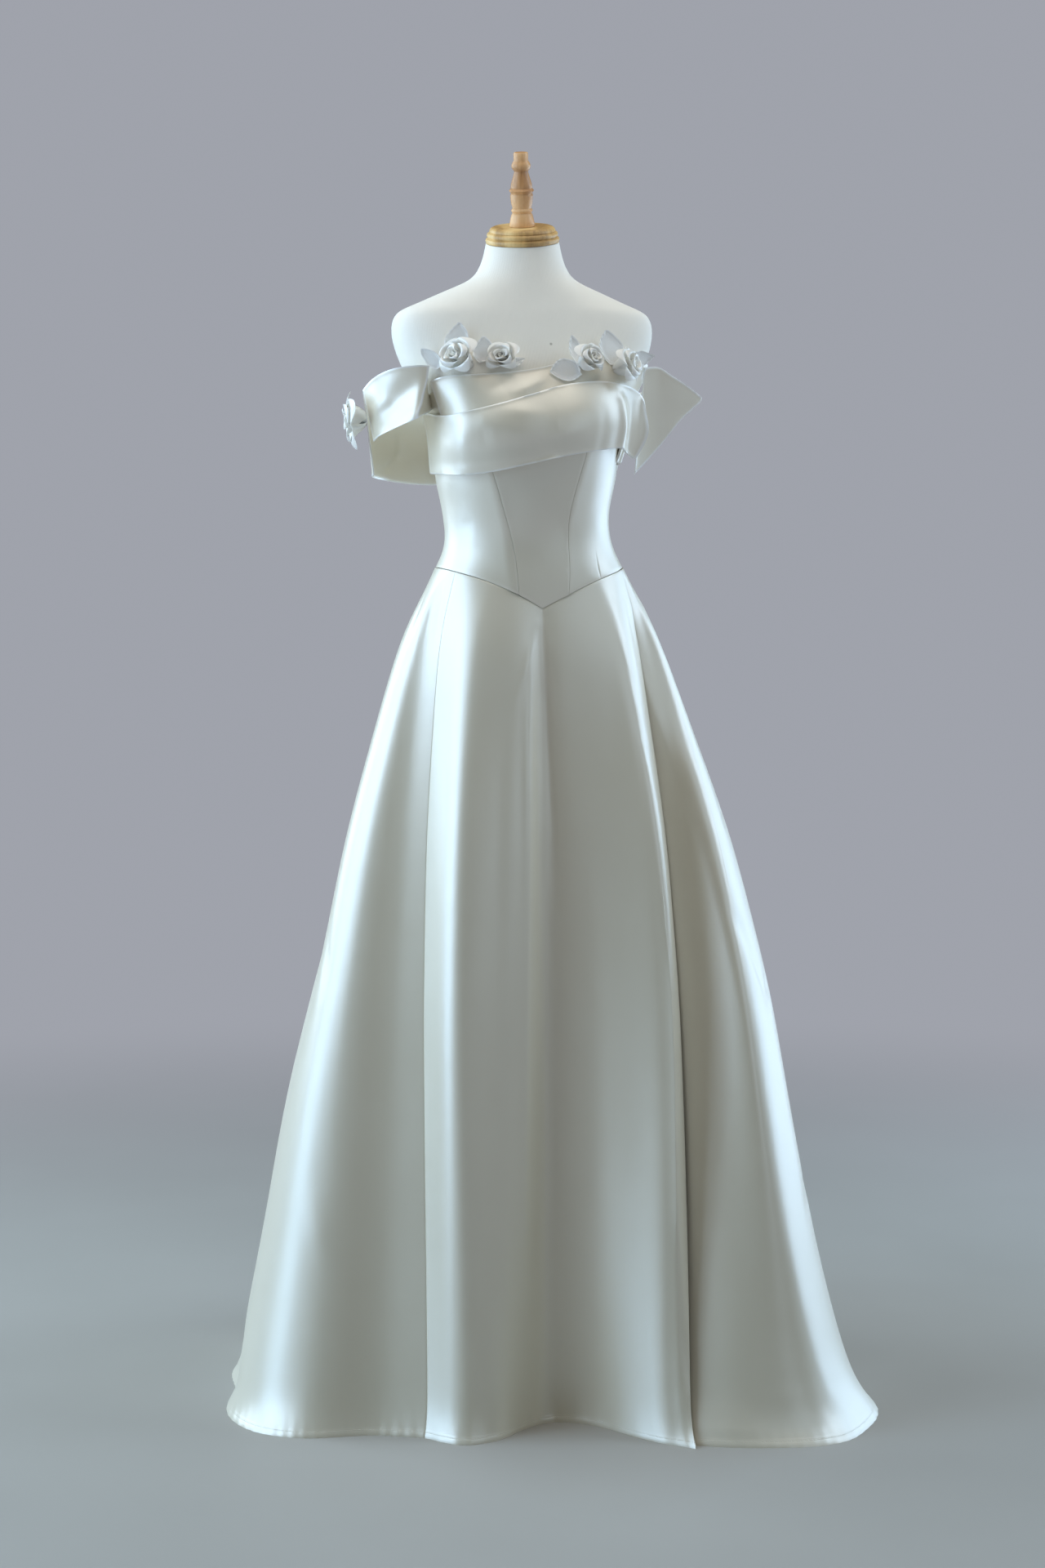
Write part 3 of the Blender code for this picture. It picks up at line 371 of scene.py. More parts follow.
# %% Turned wood
def make_wood(name, pale, mid, dark, gloss):
    """Turned wood in three tones, from its rings and its fine grain."""
    wood = Finish(name, Coat_Weight=gloss, Coat_Roughness=0.25)
    along = wood.place(stretch=(1, 1, 0.10), turn=(0.2, -0.23, 0))
    grain = wood.clouds(along, 240.0, 5.0, 0.6)
    rings = wood.node("TexWave", {"wave_type": "RINGS", "rings_direction": "X"},
                      {"Vector": along, "Scale": 24.0, "Distortion": 5.0, "Detail": 3.0})
    tone = 0.55 * grain + 0.45 * rings
    colour = wood.node("ValToRGB", {"stops": ((0.15, dark), (0.45, mid), (0.8, pale))},
                       {"Fac": tone})
    wood.feed("Base Color", colour)
    wood.feed("Roughness", 0.42 + 0.2 * grain)
    wood.relief(tone, 0.25 * MM)
    return wood.material


# %% Paint and nickel
def make_paint():
    """Pale paint with a faint orange-peel skin."""
    paint = Finish("stand_paint", Coat_Weight=0.3)
    skin = paint.clouds(paint.place(), 420.0)
    paint.feed("Base Color", paint.blend(skin, rgb(0.72, 0.71, 0.67), rgb(0.77, 0.76, 0.72)))
    paint.feed("Roughness", 0.38 + 0.1 * skin)
    paint.relief(skin, 0.1 * MM)
    return paint.material


def make_nickel():
    """Nickel that fingers have rubbed a little."""
    nickel = Finish("zip_nickel", Metallic=1.0)
    rubbed = nickel.clouds(nickel.place(stretch=(1, 1, 12)), 700.0, 3.0)
    nickel.feed("Base Color", nickel.blend(rubbed, rgb(0.70, 0.69, 0.66), rgb(0.86, 0.85, 0.83)))
    nickel.feed("Roughness", 0.18 + 0.2 * rubbed)
    nickel.relief(rubbed, 0.04 * MM)
    return nickel.material


JERSEY = make_jersey()
CAP_WOOD = make_wood("cap_wood", (0.88, 0.63, 0.29), (0.69, 0.44, 0.17), (0.36, 0.20, 0.07), 0.2)
FINIAL_WOOD = make_wood("finial_wood", (0.86, 0.54, 0.27), (0.70, 0.38, 0.16), (0.38, 0.17, 0.06),
                        0.3)
STAND_PAINT = make_paint()
ZIP_NICKEL = make_nickel()
for finish in (JERSEY, CAP_WOOD, FINIAL_WOOD, STAND_PAINT, ZIP_NICKEL):
    print(finish.name, "has", len(finish.node_tree.nodes), "nodes")

# %% [markdown]
# ## The floor
# One wide disc, pale and almost matt. Past a few metres it turns into the sky's grey, so
# no edge shows.

# %% Floor
FLOOR_RADIUS = 26.0
FADE_FROM = 0.9
FADE_TO = 3.4
floor_finish = Finish("studio_floor", Specular_IOR_Level=0.3)
dust = floor_finish.clouds(floor_finish.place(), 3.0, 4.0)
floor_finish.feed("Base Color", floor_finish.blend(dust, rgb(0.43, 0.415, 0.39),
                                                   rgb(0.47, 0.455, 0.43)))
floor_finish.feed("Roughness", 0.6 + 0.1 * dust)
spot = floor_finish.node("TexCoord", {}, {}, "Object")
reach = floor_finish.node("VectorMath", {"operation": "LENGTH"}, {0: spot}, "Value")
fade = floor_finish.node("MapRange", {"interpolation_type": "SMOOTHSTEP"},
                         {"Value": reach, "From Min": FADE_FROM, "From Max": FADE_TO})
painted = Wire(floor_finish, floor_finish.shader.outputs["BSDF"])
glow = floor_finish.node("Emission", {}, {"Color": rgb(*SKY)})
whole = floor_finish.node("MixShader", {}, {0: fade, 1: painted, 2: glow})
floor_finish.tree.links.new(whole.socket,
                            floor_finish.tree.nodes["Material Output"].inputs["Surface"])
bpy.ops.mesh.primitive_circle_add(vertices=96, radius=FLOOR_RADIUS, fill_type="NGON")
floor = bpy.context.object
floor.name = "floor"
floor.data.materials.append(floor_finish.material)
print("floor:", 2 * FLOOR_RADIUS, "metres across")

# %% [markdown]
# ## From a plain sheet to soft cloth
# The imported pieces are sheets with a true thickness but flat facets. A copy is merged,
# its triangles are paired into four-sided faces, and the sheet's edges are marked as
# creases, so a subdivision surface rounds the cloth but keeps its outline. A small bevel
# then rolls the cut edge, as a pressed seam does.

# %% Choosing a piece and using modifiers
CUT_EDGE = math.radians(50)
SMOOTH_BELOW = math.radians(42)
WELD = 0.01 * MM


def only(piece):
    """Makes this piece the one that the operators act on."""
    bpy.ops.object.select_all(action="DESELECT")
    piece.select_set(True)
    bpy.context.view_layer.objects.active = piece


def add_and_apply(piece, kind, **settings):
    """Adds a modifier and makes its result part of the mesh."""
    only(piece)
    modifier = piece.modifiers.new(kind.lower(), kind)
    for key, value in settings.items():
        setattr(modifier, key, value)
    bpy.ops.object.modifier_apply(modifier=modifier.name)


def select_cut_edges(piece):
    """Edit mode, with the edges selected where the sheet was cut."""
    only(piece)
    bpy.ops.object.mode_set(mode="EDIT")
    bpy.ops.mesh.select_mode(type="EDGE")
    bpy.ops.mesh.select_all(action="DESELECT")
    bpy.ops.mesh.edges_select_sharp(sharpness=CUT_EDGE)


# %% A softened copy
def copied(node, name, levels, crisp=1):
    """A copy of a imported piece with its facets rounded, which stands for the piece."""
    piece = bpy.data.objects.new(name, NODES[node].data.copy())
    bpy.context.scene.collection.objects.link(piece)
    only(piece)
    bpy.ops.mesh.customdata_custom_splitnormals_clear()
    bpy.ops.object.mode_set(mode="EDIT")
    bpy.ops.mesh.select_all(action="SELECT")
    bpy.ops.mesh.remove_doubles(threshold=WELD)
    bpy.ops.mesh.tris_convert_to_quads(face_threshold=math.radians(45),
                                       shape_threshold=math.radians(70))
    bpy.ops.object.mode_set(mode="OBJECT")
    select_cut_edges(piece)
    bpy.ops.transform.edge_crease(value=crisp)
    bpy.ops.mesh.select_mode(type="VERT")
    bpy.ops.object.mode_set(mode="OBJECT")
    add_and_apply(piece, "SUBSURF", levels=levels, render_levels=levels,
                  boundary_smooth="PRESERVE_CORNERS")
    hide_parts(node)
    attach(piece, "root")
    return piece


def roll_edges(piece, width):
    """Rounds the cut edges of a sheet."""
    add_and_apply(piece, "BEVEL", width=width, segments=2, limit_method="ANGLE",
                  angle_limit=CUT_EDGE)


# %% Points and finishes
def points_of(piece):
    """A piece's points, one row of x, y and z for each."""
    flat = np.empty(len(piece.data.vertices) * 3)
    piece.data.vertices.foreach_get("co", flat)
    return flat.reshape(-1, 3)


def set_points(piece, points):
    """Moves a piece's points to these places."""
    piece.data.vertices.foreach_set("co", points.ravel())
    piece.data.update()


def clad(piece, material):
    """Gives a piece its finish and smooth shading."""
    piece.data.materials.clear()
    piece.data.materials.append(material)
    only(piece)
    bpy.ops.object.shade_smooth_by_angle(angle=SMOOTH_BELOW)


# %% [markdown]
# ## Where a point is on the body
# Folds and stitches are placed by an angle round the body, 0 at the centre front and
# growing towards the wearer's left, and by a height. A crease is a soft groove or ridge
# along a line between two such places, and its row says how deep it is from start to end.
# It moves both faces of the cloth alike, so the cloth keeps its thickness.

# %% Places and creases
BODY_MIDDLE = -0.008
RIM_REACH = 4.5 * MM
Crease = namedtuple("Crease", "start_deg start_z end_deg end_z width depths")


def polar(points):
    """Angle in degrees and distance from the body's middle line, for every point."""
    x, y = points[:, 0], points[:, 1] - BODY_MIDDLE
    return np.degrees(np.arctan2(x, -y)), np.hypot(x, y)


def push_out(points, amount):
    """Moves every point away from the body's middle line."""
    angle, _ = polar(points)
    turn = np.radians(angle)
    moved = points.copy()
    moved[:, 0] += amount * np.sin(turn)
    moved[:, 1] -= amount * np.cos(turn)
    return moved


def crease_depth(points, creases, soft=2):
    """How far each point is pushed out (+) or in (-) by creases, crisp ones with soft 1."""
    angle, radius = polar(points)
    metres = radius * math.pi / 180
    depth = np.zeros(len(points))
    for crease in creases:
        run_x = (crease.end_deg - crease.start_deg) * metres
        run_z = crease.end_z - crease.start_z
        x = ((angle - crease.start_deg + 180) % 360 - 180) * metres
        z = points[:, 2] - crease.start_z
        along = np.clip((x * run_x + z * run_z) / np.maximum(run_x ** 2 + run_z ** 2, 1e-9), 0, 1)
        away = np.hypot(x - along * run_x, z - along * run_z)
        steps = np.linspace(0, 1, len(crease.depths))
        depth += np.interp(along, steps, crease.depths) * np.exp(-(away / crease.width) ** soft)
    return depth


def facing_out(piece):
    """How far each point's normal turns out from the body: 1 outwards and 0 along it."""
    normals = np.empty(len(piece.data.vertices) * 3)
    piece.data.vertex_normals.foreach_get("vector", normals)
    normals = normals.reshape(-1, 3)
    turn = np.radians(polar(points_of(piece))[0])
    return normals[:, 0] * np.sin(turn) - normals[:, 1] * np.cos(turn)


def cut_rim(piece):
    """The points on the sharp edges of a sheet."""
    select_cut_edges(piece)
    bpy.ops.object.mode_set(mode="OBJECT")
    return {end for edge in piece.data.edges if edge.select for end in edge.vertices}


def folded_rim(piece):
    """The points where a doubled strip turns over, which face along the body."""
    return set(np.flatnonzero(np.abs(facing_out(piece)) < 0.5).tolist())


def rim_distance(piece, rim):
    """Each point's distance to the nearest point of the sheet's rim."""
    tree = KDTree(len(rim))
    for end in rim:
        tree.insert(piece.data.vertices[end].co, end)
    tree.balance()
    return np.array([tree.find(vertex.co)[2] for vertex in piece.data.vertices])


def mark_rim(piece, rim):
    """Keeps how near each point is to a rolled edge: 1 on the edge, and 0 further in."""
    # the satin finish paints a paler edge, a painted highlight, from this
    near = np.clip(1 - rim_distance(piece, rim) / RIM_REACH, 0, 1)
    piece.data.attributes.new("rim", "FLOAT", "POINT").data.foreach_set("value", near)


def write_uv(piece, flat):
    """Writes a flat place for every point into the piece's UV map, in metres."""
    corners = np.empty(len(piece.data.loops), dtype=np.int32)
    piece.data.loops.foreach_get("vertex_index", corners)
    layers = piece.data.uv_layers
    layer = layers[0] if layers else layers.new(name="cloth")
    layer.data.foreach_set("uv", flat[corners].ravel())


def unroll(piece):
    """A UV map along the cloth round the body, and up it."""
    points = points_of(piece)
    angle, radius = polar(points)
    write_uv(piece, np.column_stack((np.radians(angle % 360) * radius.mean(), points[:, 2])))


# %% [markdown]
# ## The skirt
# Seven gores hang from the pointed waist seam. Heavy satin falls in a few big folds that
# start as nothing at the waist and stand deep at the hem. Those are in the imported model.
# What is added here is finer: edges down the folds, drag lines below the point of the
# waist and at the hip, dents where the cloth has lain folded, and a hem that is turned up
# once and stitched close to its edge.

# %% Creases of the skirt
SKIRT_CREASES = (
    # the soft edge beside the centre hollow, and its start under the waist's point
    Crease(-9.0, 1.095, -12.5, 0.10, 0.009, (0.0, 0.0040, 0.0040, 0.0032, 0.0020, 0.0)),
    Crease(-4.5, 1.105, -8.5, 0.45, 0.010, (-0.001, -0.0030, -0.0022, -0.001, 0.0)),
    Crease(1.0, 1.122, 5.5, 0.70, 0.013, (-0.0020, -0.0055, -0.0040, -0.0020, 0.0)),
    Crease(-3.0, 1.118, -20.0, 0.99, 0.007, (0.0008, 0.0012, 0.0)),
    Crease(-24.0, 1.060, -22.0, 0.10, 0.012, (0.0, -0.0012, -0.0016, -0.0016, -0.0010, 0.0)),
    Crease(17.0, 1.000, 10.0, 0.12, 0.015, (0.0, 0.0012, 0.0016, 0.0)),
    # drag lines at the wearer's left hip
    Crease(73.0, 1.185, 66.0, 1.105, 0.0050, (0.0, 0.0016, 0.0)),
    Crease(76.0, 1.180, 71.5, 1.080, 0.0055, (0.0, -0.0018, -0.0008, 0.0)),
    Crease(80.0, 1.178, 77.0, 1.060, 0.0060, (0.0, 0.0018, 0.0008, 0.0)),
    Crease(86.0, 1.176, 84.0, 1.090, 0.0055, (0.0, -0.0014, 0.0)),
    Crease(64.0, 1.160, 60.0, 1.060, 0.0060, (0.0, -0.0012, 0.0)),
    # drag lines at the wearer's right hip
    Crease(-70.0, 1.178, -64.0, 1.075, 0.0065, (0.0, -0.0014, -0.0008, 0.0)),
    Crease(-77.0, 1.176, -73.0, 1.050, 0.0065, (0.0, 0.0016, 0.0008, 0.0)),
    Crease(-84.0, 1.176, -80.0, 1.080, 0.0055, (0.0, -0.0014, 0.0)),
    # dents where the cloth has lain folded
    Crease(54.0, 0.730, 58.5, 0.580, 0.0090, (0.0, -0.0038, -0.0030, 0.0)),
    Crease(70.0, 0.850, 62.0, 0.815, 0.0080, (-0.0030, -0.0016, 0.0)),
    Crease(64.0, 0.600, 56.0, 0.560, 0.0090, (-0.0030, -0.0020, 0.0)),
    Crease(64.0, 0.315, 55.0, 0.275, 0.0100, (-0.0034, -0.0020, 0.0)),
    Crease(-82.0, 0.700, -76.0, 0.580, 0.0110, (0.0, -0.0020, 0.0)),
    Crease(-70.0, 0.330, -62.0, 0.210, 0.0140, (0.0, 0.0022, 0.0)),
    Crease(28.0, 0.520, 24.0, 0.300, 0.0130, (0.0, -0.0016, 0.0)),
)
SIDE_CREASES = 26
SIDE_SEED = 7
SIDES_FROM = 96
SIDES_TO = 264


def hidden_creases(count, seed):
    """Similar soft creases on the sides and the back, uneven in place and depth."""
    chance = np.random.default_rng(seed)
    creases = []
    for number in range(count):
        share = (number + chance.uniform(0.1, 0.9)) / count
        angle = SIDES_FROM + (SIDES_TO - SIDES_FROM) * share
        top = chance.uniform(0.45, 1.12)
        drop = chance.uniform(0.10, 0.34)
        lean = chance.uniform(-5, 5)
        depth = chance.choice((-1, 1)) * chance.uniform(0.0012, 0.0034)
        creases.append(Crease(angle, top, angle + lean, top - drop, chance.uniform(0.007, 0.015),
                              (0.0, depth, 0.7 * depth, 0.0)))
    return creases


ALL_SKIRT_CREASES = (*SKIRT_CREASES, *hidden_creases(SIDE_CREASES, SIDE_SEED))
print("creases on the skirt:", len(ALL_SKIRT_CREASES))

# %% [markdown]
# Two gores meet at a deep pleat on the wearer's left. The front one ends there in a crest,
# and the one behind it lies back and then turns round the side. Here the crest is made a
# little squarer, the second gore turns back sooner, and the cloth beside the pleat is
# sunk. Each slice of a gore is measured inwards from its outermost point, as seen from
# straight ahead of the pleat.

# %% The gores' corners beside the deep pleat
PLEAT_FACES = math.radians(-13)
PLEAT_WIDE = 0.235
PLEAT_NARROWS = 0.185
SINK_PLACE = 0.72
SINK_WIDE = 0.32
SLICE = 0.04
CORNER_DEEP = 0.065
CORNER_GROWS = 0.25
Corner = namedtuple("Corner", "node reach cut hollow")
CORNERS = (
    Corner("skirt_front_centre", 0.030, -0.013, 0.0),
    Corner("skirt_side_front_left", 0.055, 0.040, 0.06),
)


def turn_corner(points, corner):
    """Cuts (+) or squares (-) the round where a gore turns away, and sinks it at the pleat."""
    ahead = np.array((math.sin(PLEAT_FACES), -math.cos(PLEAT_FACES), 0))
    beside = np.array((math.cos(PLEAT_FACES), math.sin(PLEAT_FACES), 0))
    sideways, forwards, z = points @ beside, points @ ahead, points[:, 2]
    heights = np.arange(SLICE / 2, z.max(), SLICE)
    edge, front = [], []
    for height in heights:
        here = np.abs(z - height) < SLICE / 2
        edge.append(sideways[here].max())
        front.append(forwards[here & (sideways > edge[-1] - corner.reach)].max())
    inwards = np.interp(z, heights, edge) - sideways
    share = np.clip(1 - inwards / corner.reach, 0, 1)
    wide = PLEAT_WIDE - PLEAT_NARROWS * z
    sink = corner.hollow * wide * np.exp(-((inwards / wide - SINK_PLACE) / SINK_WIDE) ** 2)
    behind = np.maximum(np.interp(z, heights, front) - forwards, 0)
    below_waist = np.clip((z.max() - z) / CORNER_GROWS, 0, 1)
    back = below_waist * (corner.cut * share ** 2 + sink)
    return points - np.outer(back * np.exp(-(behind / CORNER_DEEP) ** 2), ahead)


# %% The hem
HEM_TALL = 9 * MM
HEM_STEP = 0.5 * MM
HEM_RAISE = 0.6 * MM
SEWN_BELOW = 1.5 * MM
SEWN_WIDE = 0.9 * MM
SEWN_DEEP = 0.4 * MM
HEM_ROWS = (5.5 * MM, 6.6 * MM, 7.5 * MM, 8.4 * MM, 9.4 * MM, 10.5 * MM)
PUCKER = 0.022
PUCKER_DEPTH = 0.35 * MM
PUCKER_TALL = 16 * MM


def hem_shape(points):
    """The doubled hem stands proud, is drawn in along its stitches and puckers a little."""
    z = points[:, 2]
    angle, radius = polar(points)
    proud = 1 / (1 + np.exp((z - HEM_TALL) / HEM_STEP))
    stitched = np.exp(-((z - HEM_TALL + SEWN_BELOW) / SEWN_WIDE) ** 2)
    run = np.radians(angle) * radius / PUCKER
    wave = np.sin(2 * np.pi * run) * np.exp(-(z / PUCKER_TALL) ** 2)
    return HEM_RAISE * proud - SEWN_DEEP * stitched + PUCKER_DEPTH * wave


def cut_across(piece, heights):
    """New rows of points at some heights, for detail that the grid is too coarse for."""
    only(piece)
    bpy.ops.object.mode_set(mode="EDIT")
    for height in heights:
        bpy.ops.mesh.select_all(action="SELECT")
        bpy.ops.mesh.bisect(plane_co=(0, 0, height), plane_no=(0, 0, 1))
    bpy.ops.object.mode_set(mode="OBJECT")


# %% Skirt gores: node, the cut's widest and longest, and its area
SKIRT_EDGE = 0.45 * MM
Cut = namedtuple("Cut", "node width length area")
GORES = (
    Cut("skirt_front_centre", 0.56, 1.22, 0.514),
    Cut("skirt_side_front_left", 0.46, 1.26, 0.409),
    Cut("skirt_side_front_right", 0.44, 1.25, 0.336),
    Cut("skirt_side_back_left", 0.36, 1.25, 0.326),
    Cut("skirt_side_back_right", 0.31, 1.25, 0.264),
    Cut("skirt_back_left", 0.38, 1.27, 0.362),
    Cut("skirt_back_right", 0.36, 1.27, 0.342),
)


def declare(piece, cut, held, *rests_on):
    """Prints a piece's cloth on one side and its faces; the cut, how it is held and what carries it are
    not used.
    """
    one_side = sum(face.area for face in piece.data.polygons) / 2
    print(piece.name, "has", round(one_side, 4), "square metres of cloth and",
          len(piece.data.polygons), "faces")


for cut in GORES:
    gore = copied(cut.node, cut.node + "_satin", 3)
    cut_across(gore, HEM_ROWS)
    points = points_of(gore)
    depth = crease_depth(points, ALL_SKIRT_CREASES) + hem_shape(points)
    points = push_out(points, depth)
    for corner in CORNERS:
        if corner.node == cut.node:
            points = turn_corner(points, corner)
    set_points(gore, points)
    roll_edges(gore, SKIRT_EDGE)
    unroll(gore)
    clad(gore, SKIRT_SATIN)
    declare(gore, cut, "hung", cut.node.replace("skirt", "bodice"))

# %% [markdown]
# ## The bodice
# Seven panels, joined by princess, side and back seams. Each seam is a fine line where
# both edges roll in. The satin is mounted on a firm lining, so it hardly creases. A short
# dart is sewn into the waist beside the side seam on the wearer's left.

# %% Bodice panels
PANEL_EDGE = 0.4 * MM
Dart = namedtuple("Dart", "angle low top width depth")
DART = Dart(angle=46, low=1.178, top=1.214, width=0.9 * MM, depth=0.7 * MM)
DART_OPENS = 3 * MM
DART_CLOSES = 12 * MM
BACK_BEGINS = 120
BODICE_CREASES = (
    Crease(-50.0, 1.262, -64.0, 1.248, 0.0070, (0.0, -0.0009, 0.0)),
    Crease(-46.0, 1.236, -60.0, 1.226, 0.0060, (0.0, 0.0008, 0.0)),
    Crease(52.0, 1.262, 66.0, 1.244, 0.0070, (0.0, -0.0010, 0.0)),
    Crease(50.0, 1.232, 64.0, 1.222, 0.0060, (0.0, 0.0008, 0.0)),
    Crease(-18.0, 1.330, -22.0, 1.240, 0.0140, (0.0, -0.0008, 0.0)),
    Crease(14.0, 1.300, 20.0, 1.215, 0.0140, (0.0, -0.0008, 0.0)),
    Crease(118.0, 1.270, 142.0, 1.258, 0.0080, (0.0, -0.0012, 0.0)),
    Crease(-122.0, 1.262, -146.0, 1.250, 0.0080, (0.0, -0.0012, 0.0)),
    Crease(150.0, 1.240, 170.0, 1.232, 0.0070, (0.0, -0.0010, 0.0)),
    Crease(-152.0, 1.236, -172.0, 1.230, 0.0070, (0.0, -0.0010, 0.0)),
)
# The boning stands under the princess seams, so the cloth turns there.
BONED_SEAMS = (
    Crease(-20.0, 1.145, -44.0, 1.455, 0.020, (0.0032, 0.0040, 0.0040)),
    Crease(20.0, 1.145, 32.0, 1.468, 0.018, (0.0022, 0.0026, 0.0026)),
)
PANELS = (
    Cut("bodice_front_centre", 0.165, 0.335, 0.0380),
    Cut("bodice_side_front_left", 0.160, 0.315, 0.0423),
    Cut("bodice_side_front_right", 0.150, 0.297, 0.0351),
    Cut("bodice_side_back_left", 0.115, 0.235, 0.0251),
    Cut("bodice_side_back_right", 0.115, 0.232, 0.0249),
    Cut("bodice_back_left", 0.072, 0.216, 0.0134),
    Cut("bodice_back_right", 0.072, 0.216, 0.0134),
)


def cut_down(piece, angle, spread):
    """Columns of points beside a line down the body, for the fine fold of a dart."""
    turn = math.radians(angle)
    only(piece)
    bpy.ops.object.mode_set(mode="EDIT")
    for step in (-2, -1, 0, 1, 2):
        bpy.ops.mesh.select_all(action="SELECT")
        away = step * spread
        bpy.ops.mesh.bisect(plane_co=(away * math.cos(turn), BODY_MIDDLE + away * math.sin(turn), 0),
                            plane_no=(math.cos(turn), math.sin(turn), 0))
    bpy.ops.object.mode_set(mode="OBJECT")


def dart_depth(points, dart):
    """How far in a short dart draws each point."""
    angle, radius = polar(points)
    away = np.radians(angle - dart.angle) * radius
    z = points[:, 2]
    opened = np.clip((z - dart.low) / DART_OPENS, 0, 1)
    closing = np.clip((dart.top - z) / DART_CLOSES, 0, 1)
    return -dart.depth * opened * closing * np.exp(-(away / dart.width) ** 2)


for cut in PANELS:
    panel = copied(cut.node, cut.node + "_satin", 2)
    angles, _ = polar(points_of(panel))
    if angles.min() < DART.angle < angles.max() < BACK_BEGINS:
        cut_down(panel, DART.angle, DART.width)
    points = points_of(panel)
    depth = crease_depth(points, BODICE_CREASES) + crease_depth(points, BONED_SEAMS, soft=1)
    set_points(panel, push_out(points, depth + dart_depth(points, DART)))
    roll_edges(panel, PANEL_EDGE)
    unroll(panel)
    clad(panel, GOWN_SATIN)
    declare(panel, cut, "stretched", "form_torso")

# %% [markdown]
# ## The folded bands
# Each band is one strip folded double, so its edges are soft rolls and not cuts: the
# cloth rises a little just before it turns over. The lower band lies aslant over the
# upper one, and where it is drawn to the side the cloth shows long soft waves.

# %% Bands
BAND_CREASES = (
    # the lower band: the wave before its free end, and the hollow beside it
    Crease(33.0, 1.425, 32.0, 1.360, 0.0090, (0.0, -0.0010, -0.0012)),
    Crease(47.0, 1.430, 47.5, 1.350, 0.0090, (0.0036, 0.0060, 0.0050)),
    Crease(57.0, 1.425, 57.5, 1.350, 0.0050, (-0.0006, -0.0012, -0.0008)),
    Crease(65.5, 1.430, 66.0, 1.345, 0.0060, (0.0040, 0.0065, 0.0060)),
    Crease(-30.0, 1.420, 4.0, 1.405, 0.0110, (0.0, 0.0016, 0.0)),
    Crease(-44.0, 1.372, -12.0, 1.380, 0.0130, (0.0, -0.0018, -0.0010, 0.0)),
    Crease(-66.0, 1.398, -50.0, 1.404, 0.0090, (0.0, 0.0016, 0.0)),
    Crease(-4.0, 1.372, 24.0, 1.392, 0.0100, (0.0, 0.0014, 0.0)),
    # the upper band: a soft slanting wave in its middle
    Crease(-22.0, 1.436, 6.0, 1.466, 0.0090, (0.0, 0.0024, 0.0020, 0.0)),
    Crease(-36.0, 1.440, -18.0, 1.462, 0.0090, (0.0, -0.0016, 0.0)),
    Crease(8.0, 1.440, 24.0, 1.464, 0.0080, (0.0, -0.0014, 0.0)),
    # both bands: the turn to the side at the wearer's right, and the lower one's loose edge
    Crease(-47.0, 1.475, -47.0, 1.340, 0.0240, (0.0030, 0.0036, 0.0036)),
    Crease(-64.0, 1.322, 4.0, 1.338, 0.0110, (0.0030, 0.0040, 0.0040)),
    Crease(4.0, 1.338, 64.0, 1.352, 0.0110, (0.0040, 0.0036, 0.0020)),
    # the back bands, and the corner of the left one that closes against the bodice
    Crease(60.0, 1.330, 88.0, 1.334, 0.0130, (-0.0065, -0.0060, -0.0020)),
    Crease(61.0, 1.350, 74.0, 1.352, 0.0140, (-0.0050, -0.0050, -0.0020)),
    Crease(120.0, 1.405, 165.0, 1.390, 0.0100, (0.0, -0.0020, -0.0012, 0.0)),
    Crease(-118.0, 1.400, -160.0, 1.390, 0.0100, (0.0, -0.0020, -0.0012, 0.0)),
    Crease(112.0, 1.380, 150.0, 1.372, 0.0090, (0.0, 0.0016, 0.0)),
    Crease(-112.0, 1.380, -148.0, 1.368, 0.0090, (0.0, 0.0016, 0.0)),
)
BANDS = (
    Cut("band_upper", 0.335, 0.080, 0.0234),
    Cut("band_lower", 0.390, 0.105, 0.0386),
    Cut("band_back_right", 0.197, 0.090, 0.0170),
    Cut("band_back_left", 0.265, 0.095, 0.0224),
)
BAND_LOOSE = 2.0 * MM
BAND_DOUBLE = 1.5 * MM
BAND_CRISP = 0.45
ROLL_HIGH = 1.1 * MM
ROLL_REACH = 2.8 * MM


def fold_over(piece, creases, rim, more=0):
    """Presses in the creases and lifts the cloth along its folded edges."""
    points = points_of(piece)
    roll = ROLL_HIGH * np.exp(-(rim_distance(piece, rim) / ROLL_REACH) ** 2)
    set_points(piece, push_out(points, crease_depth(points, creases) + roll + more))


for cut in BANDS:
    strip = copied(cut.node, cut.node + "_satin", 3, crisp=BAND_CRISP)
    rim = folded_rim(strip)
    double = BAND_DOUBLE * np.clip(facing_out(strip), 0, 1)
    loose = BAND_LOOSE if cut.node == "band_lower" else 0
    fold_over(strip, BAND_CREASES, rim, double + loose)
    mark_rim(strip, rim)
    unroll(strip)
    clad(strip, GOWN_SATIN)
    declare(strip, cut, "folded", "form_torso")

# %% [markdown]
# ## The sleeves
# Two loops rest below the shoulders. On the wearer's right the front strip is folded on
# the slant, so it has a bright face and a hollow one, and the back strip hangs with one
# curved fold. On the wearer's left the front ends in a flat pointed flap.

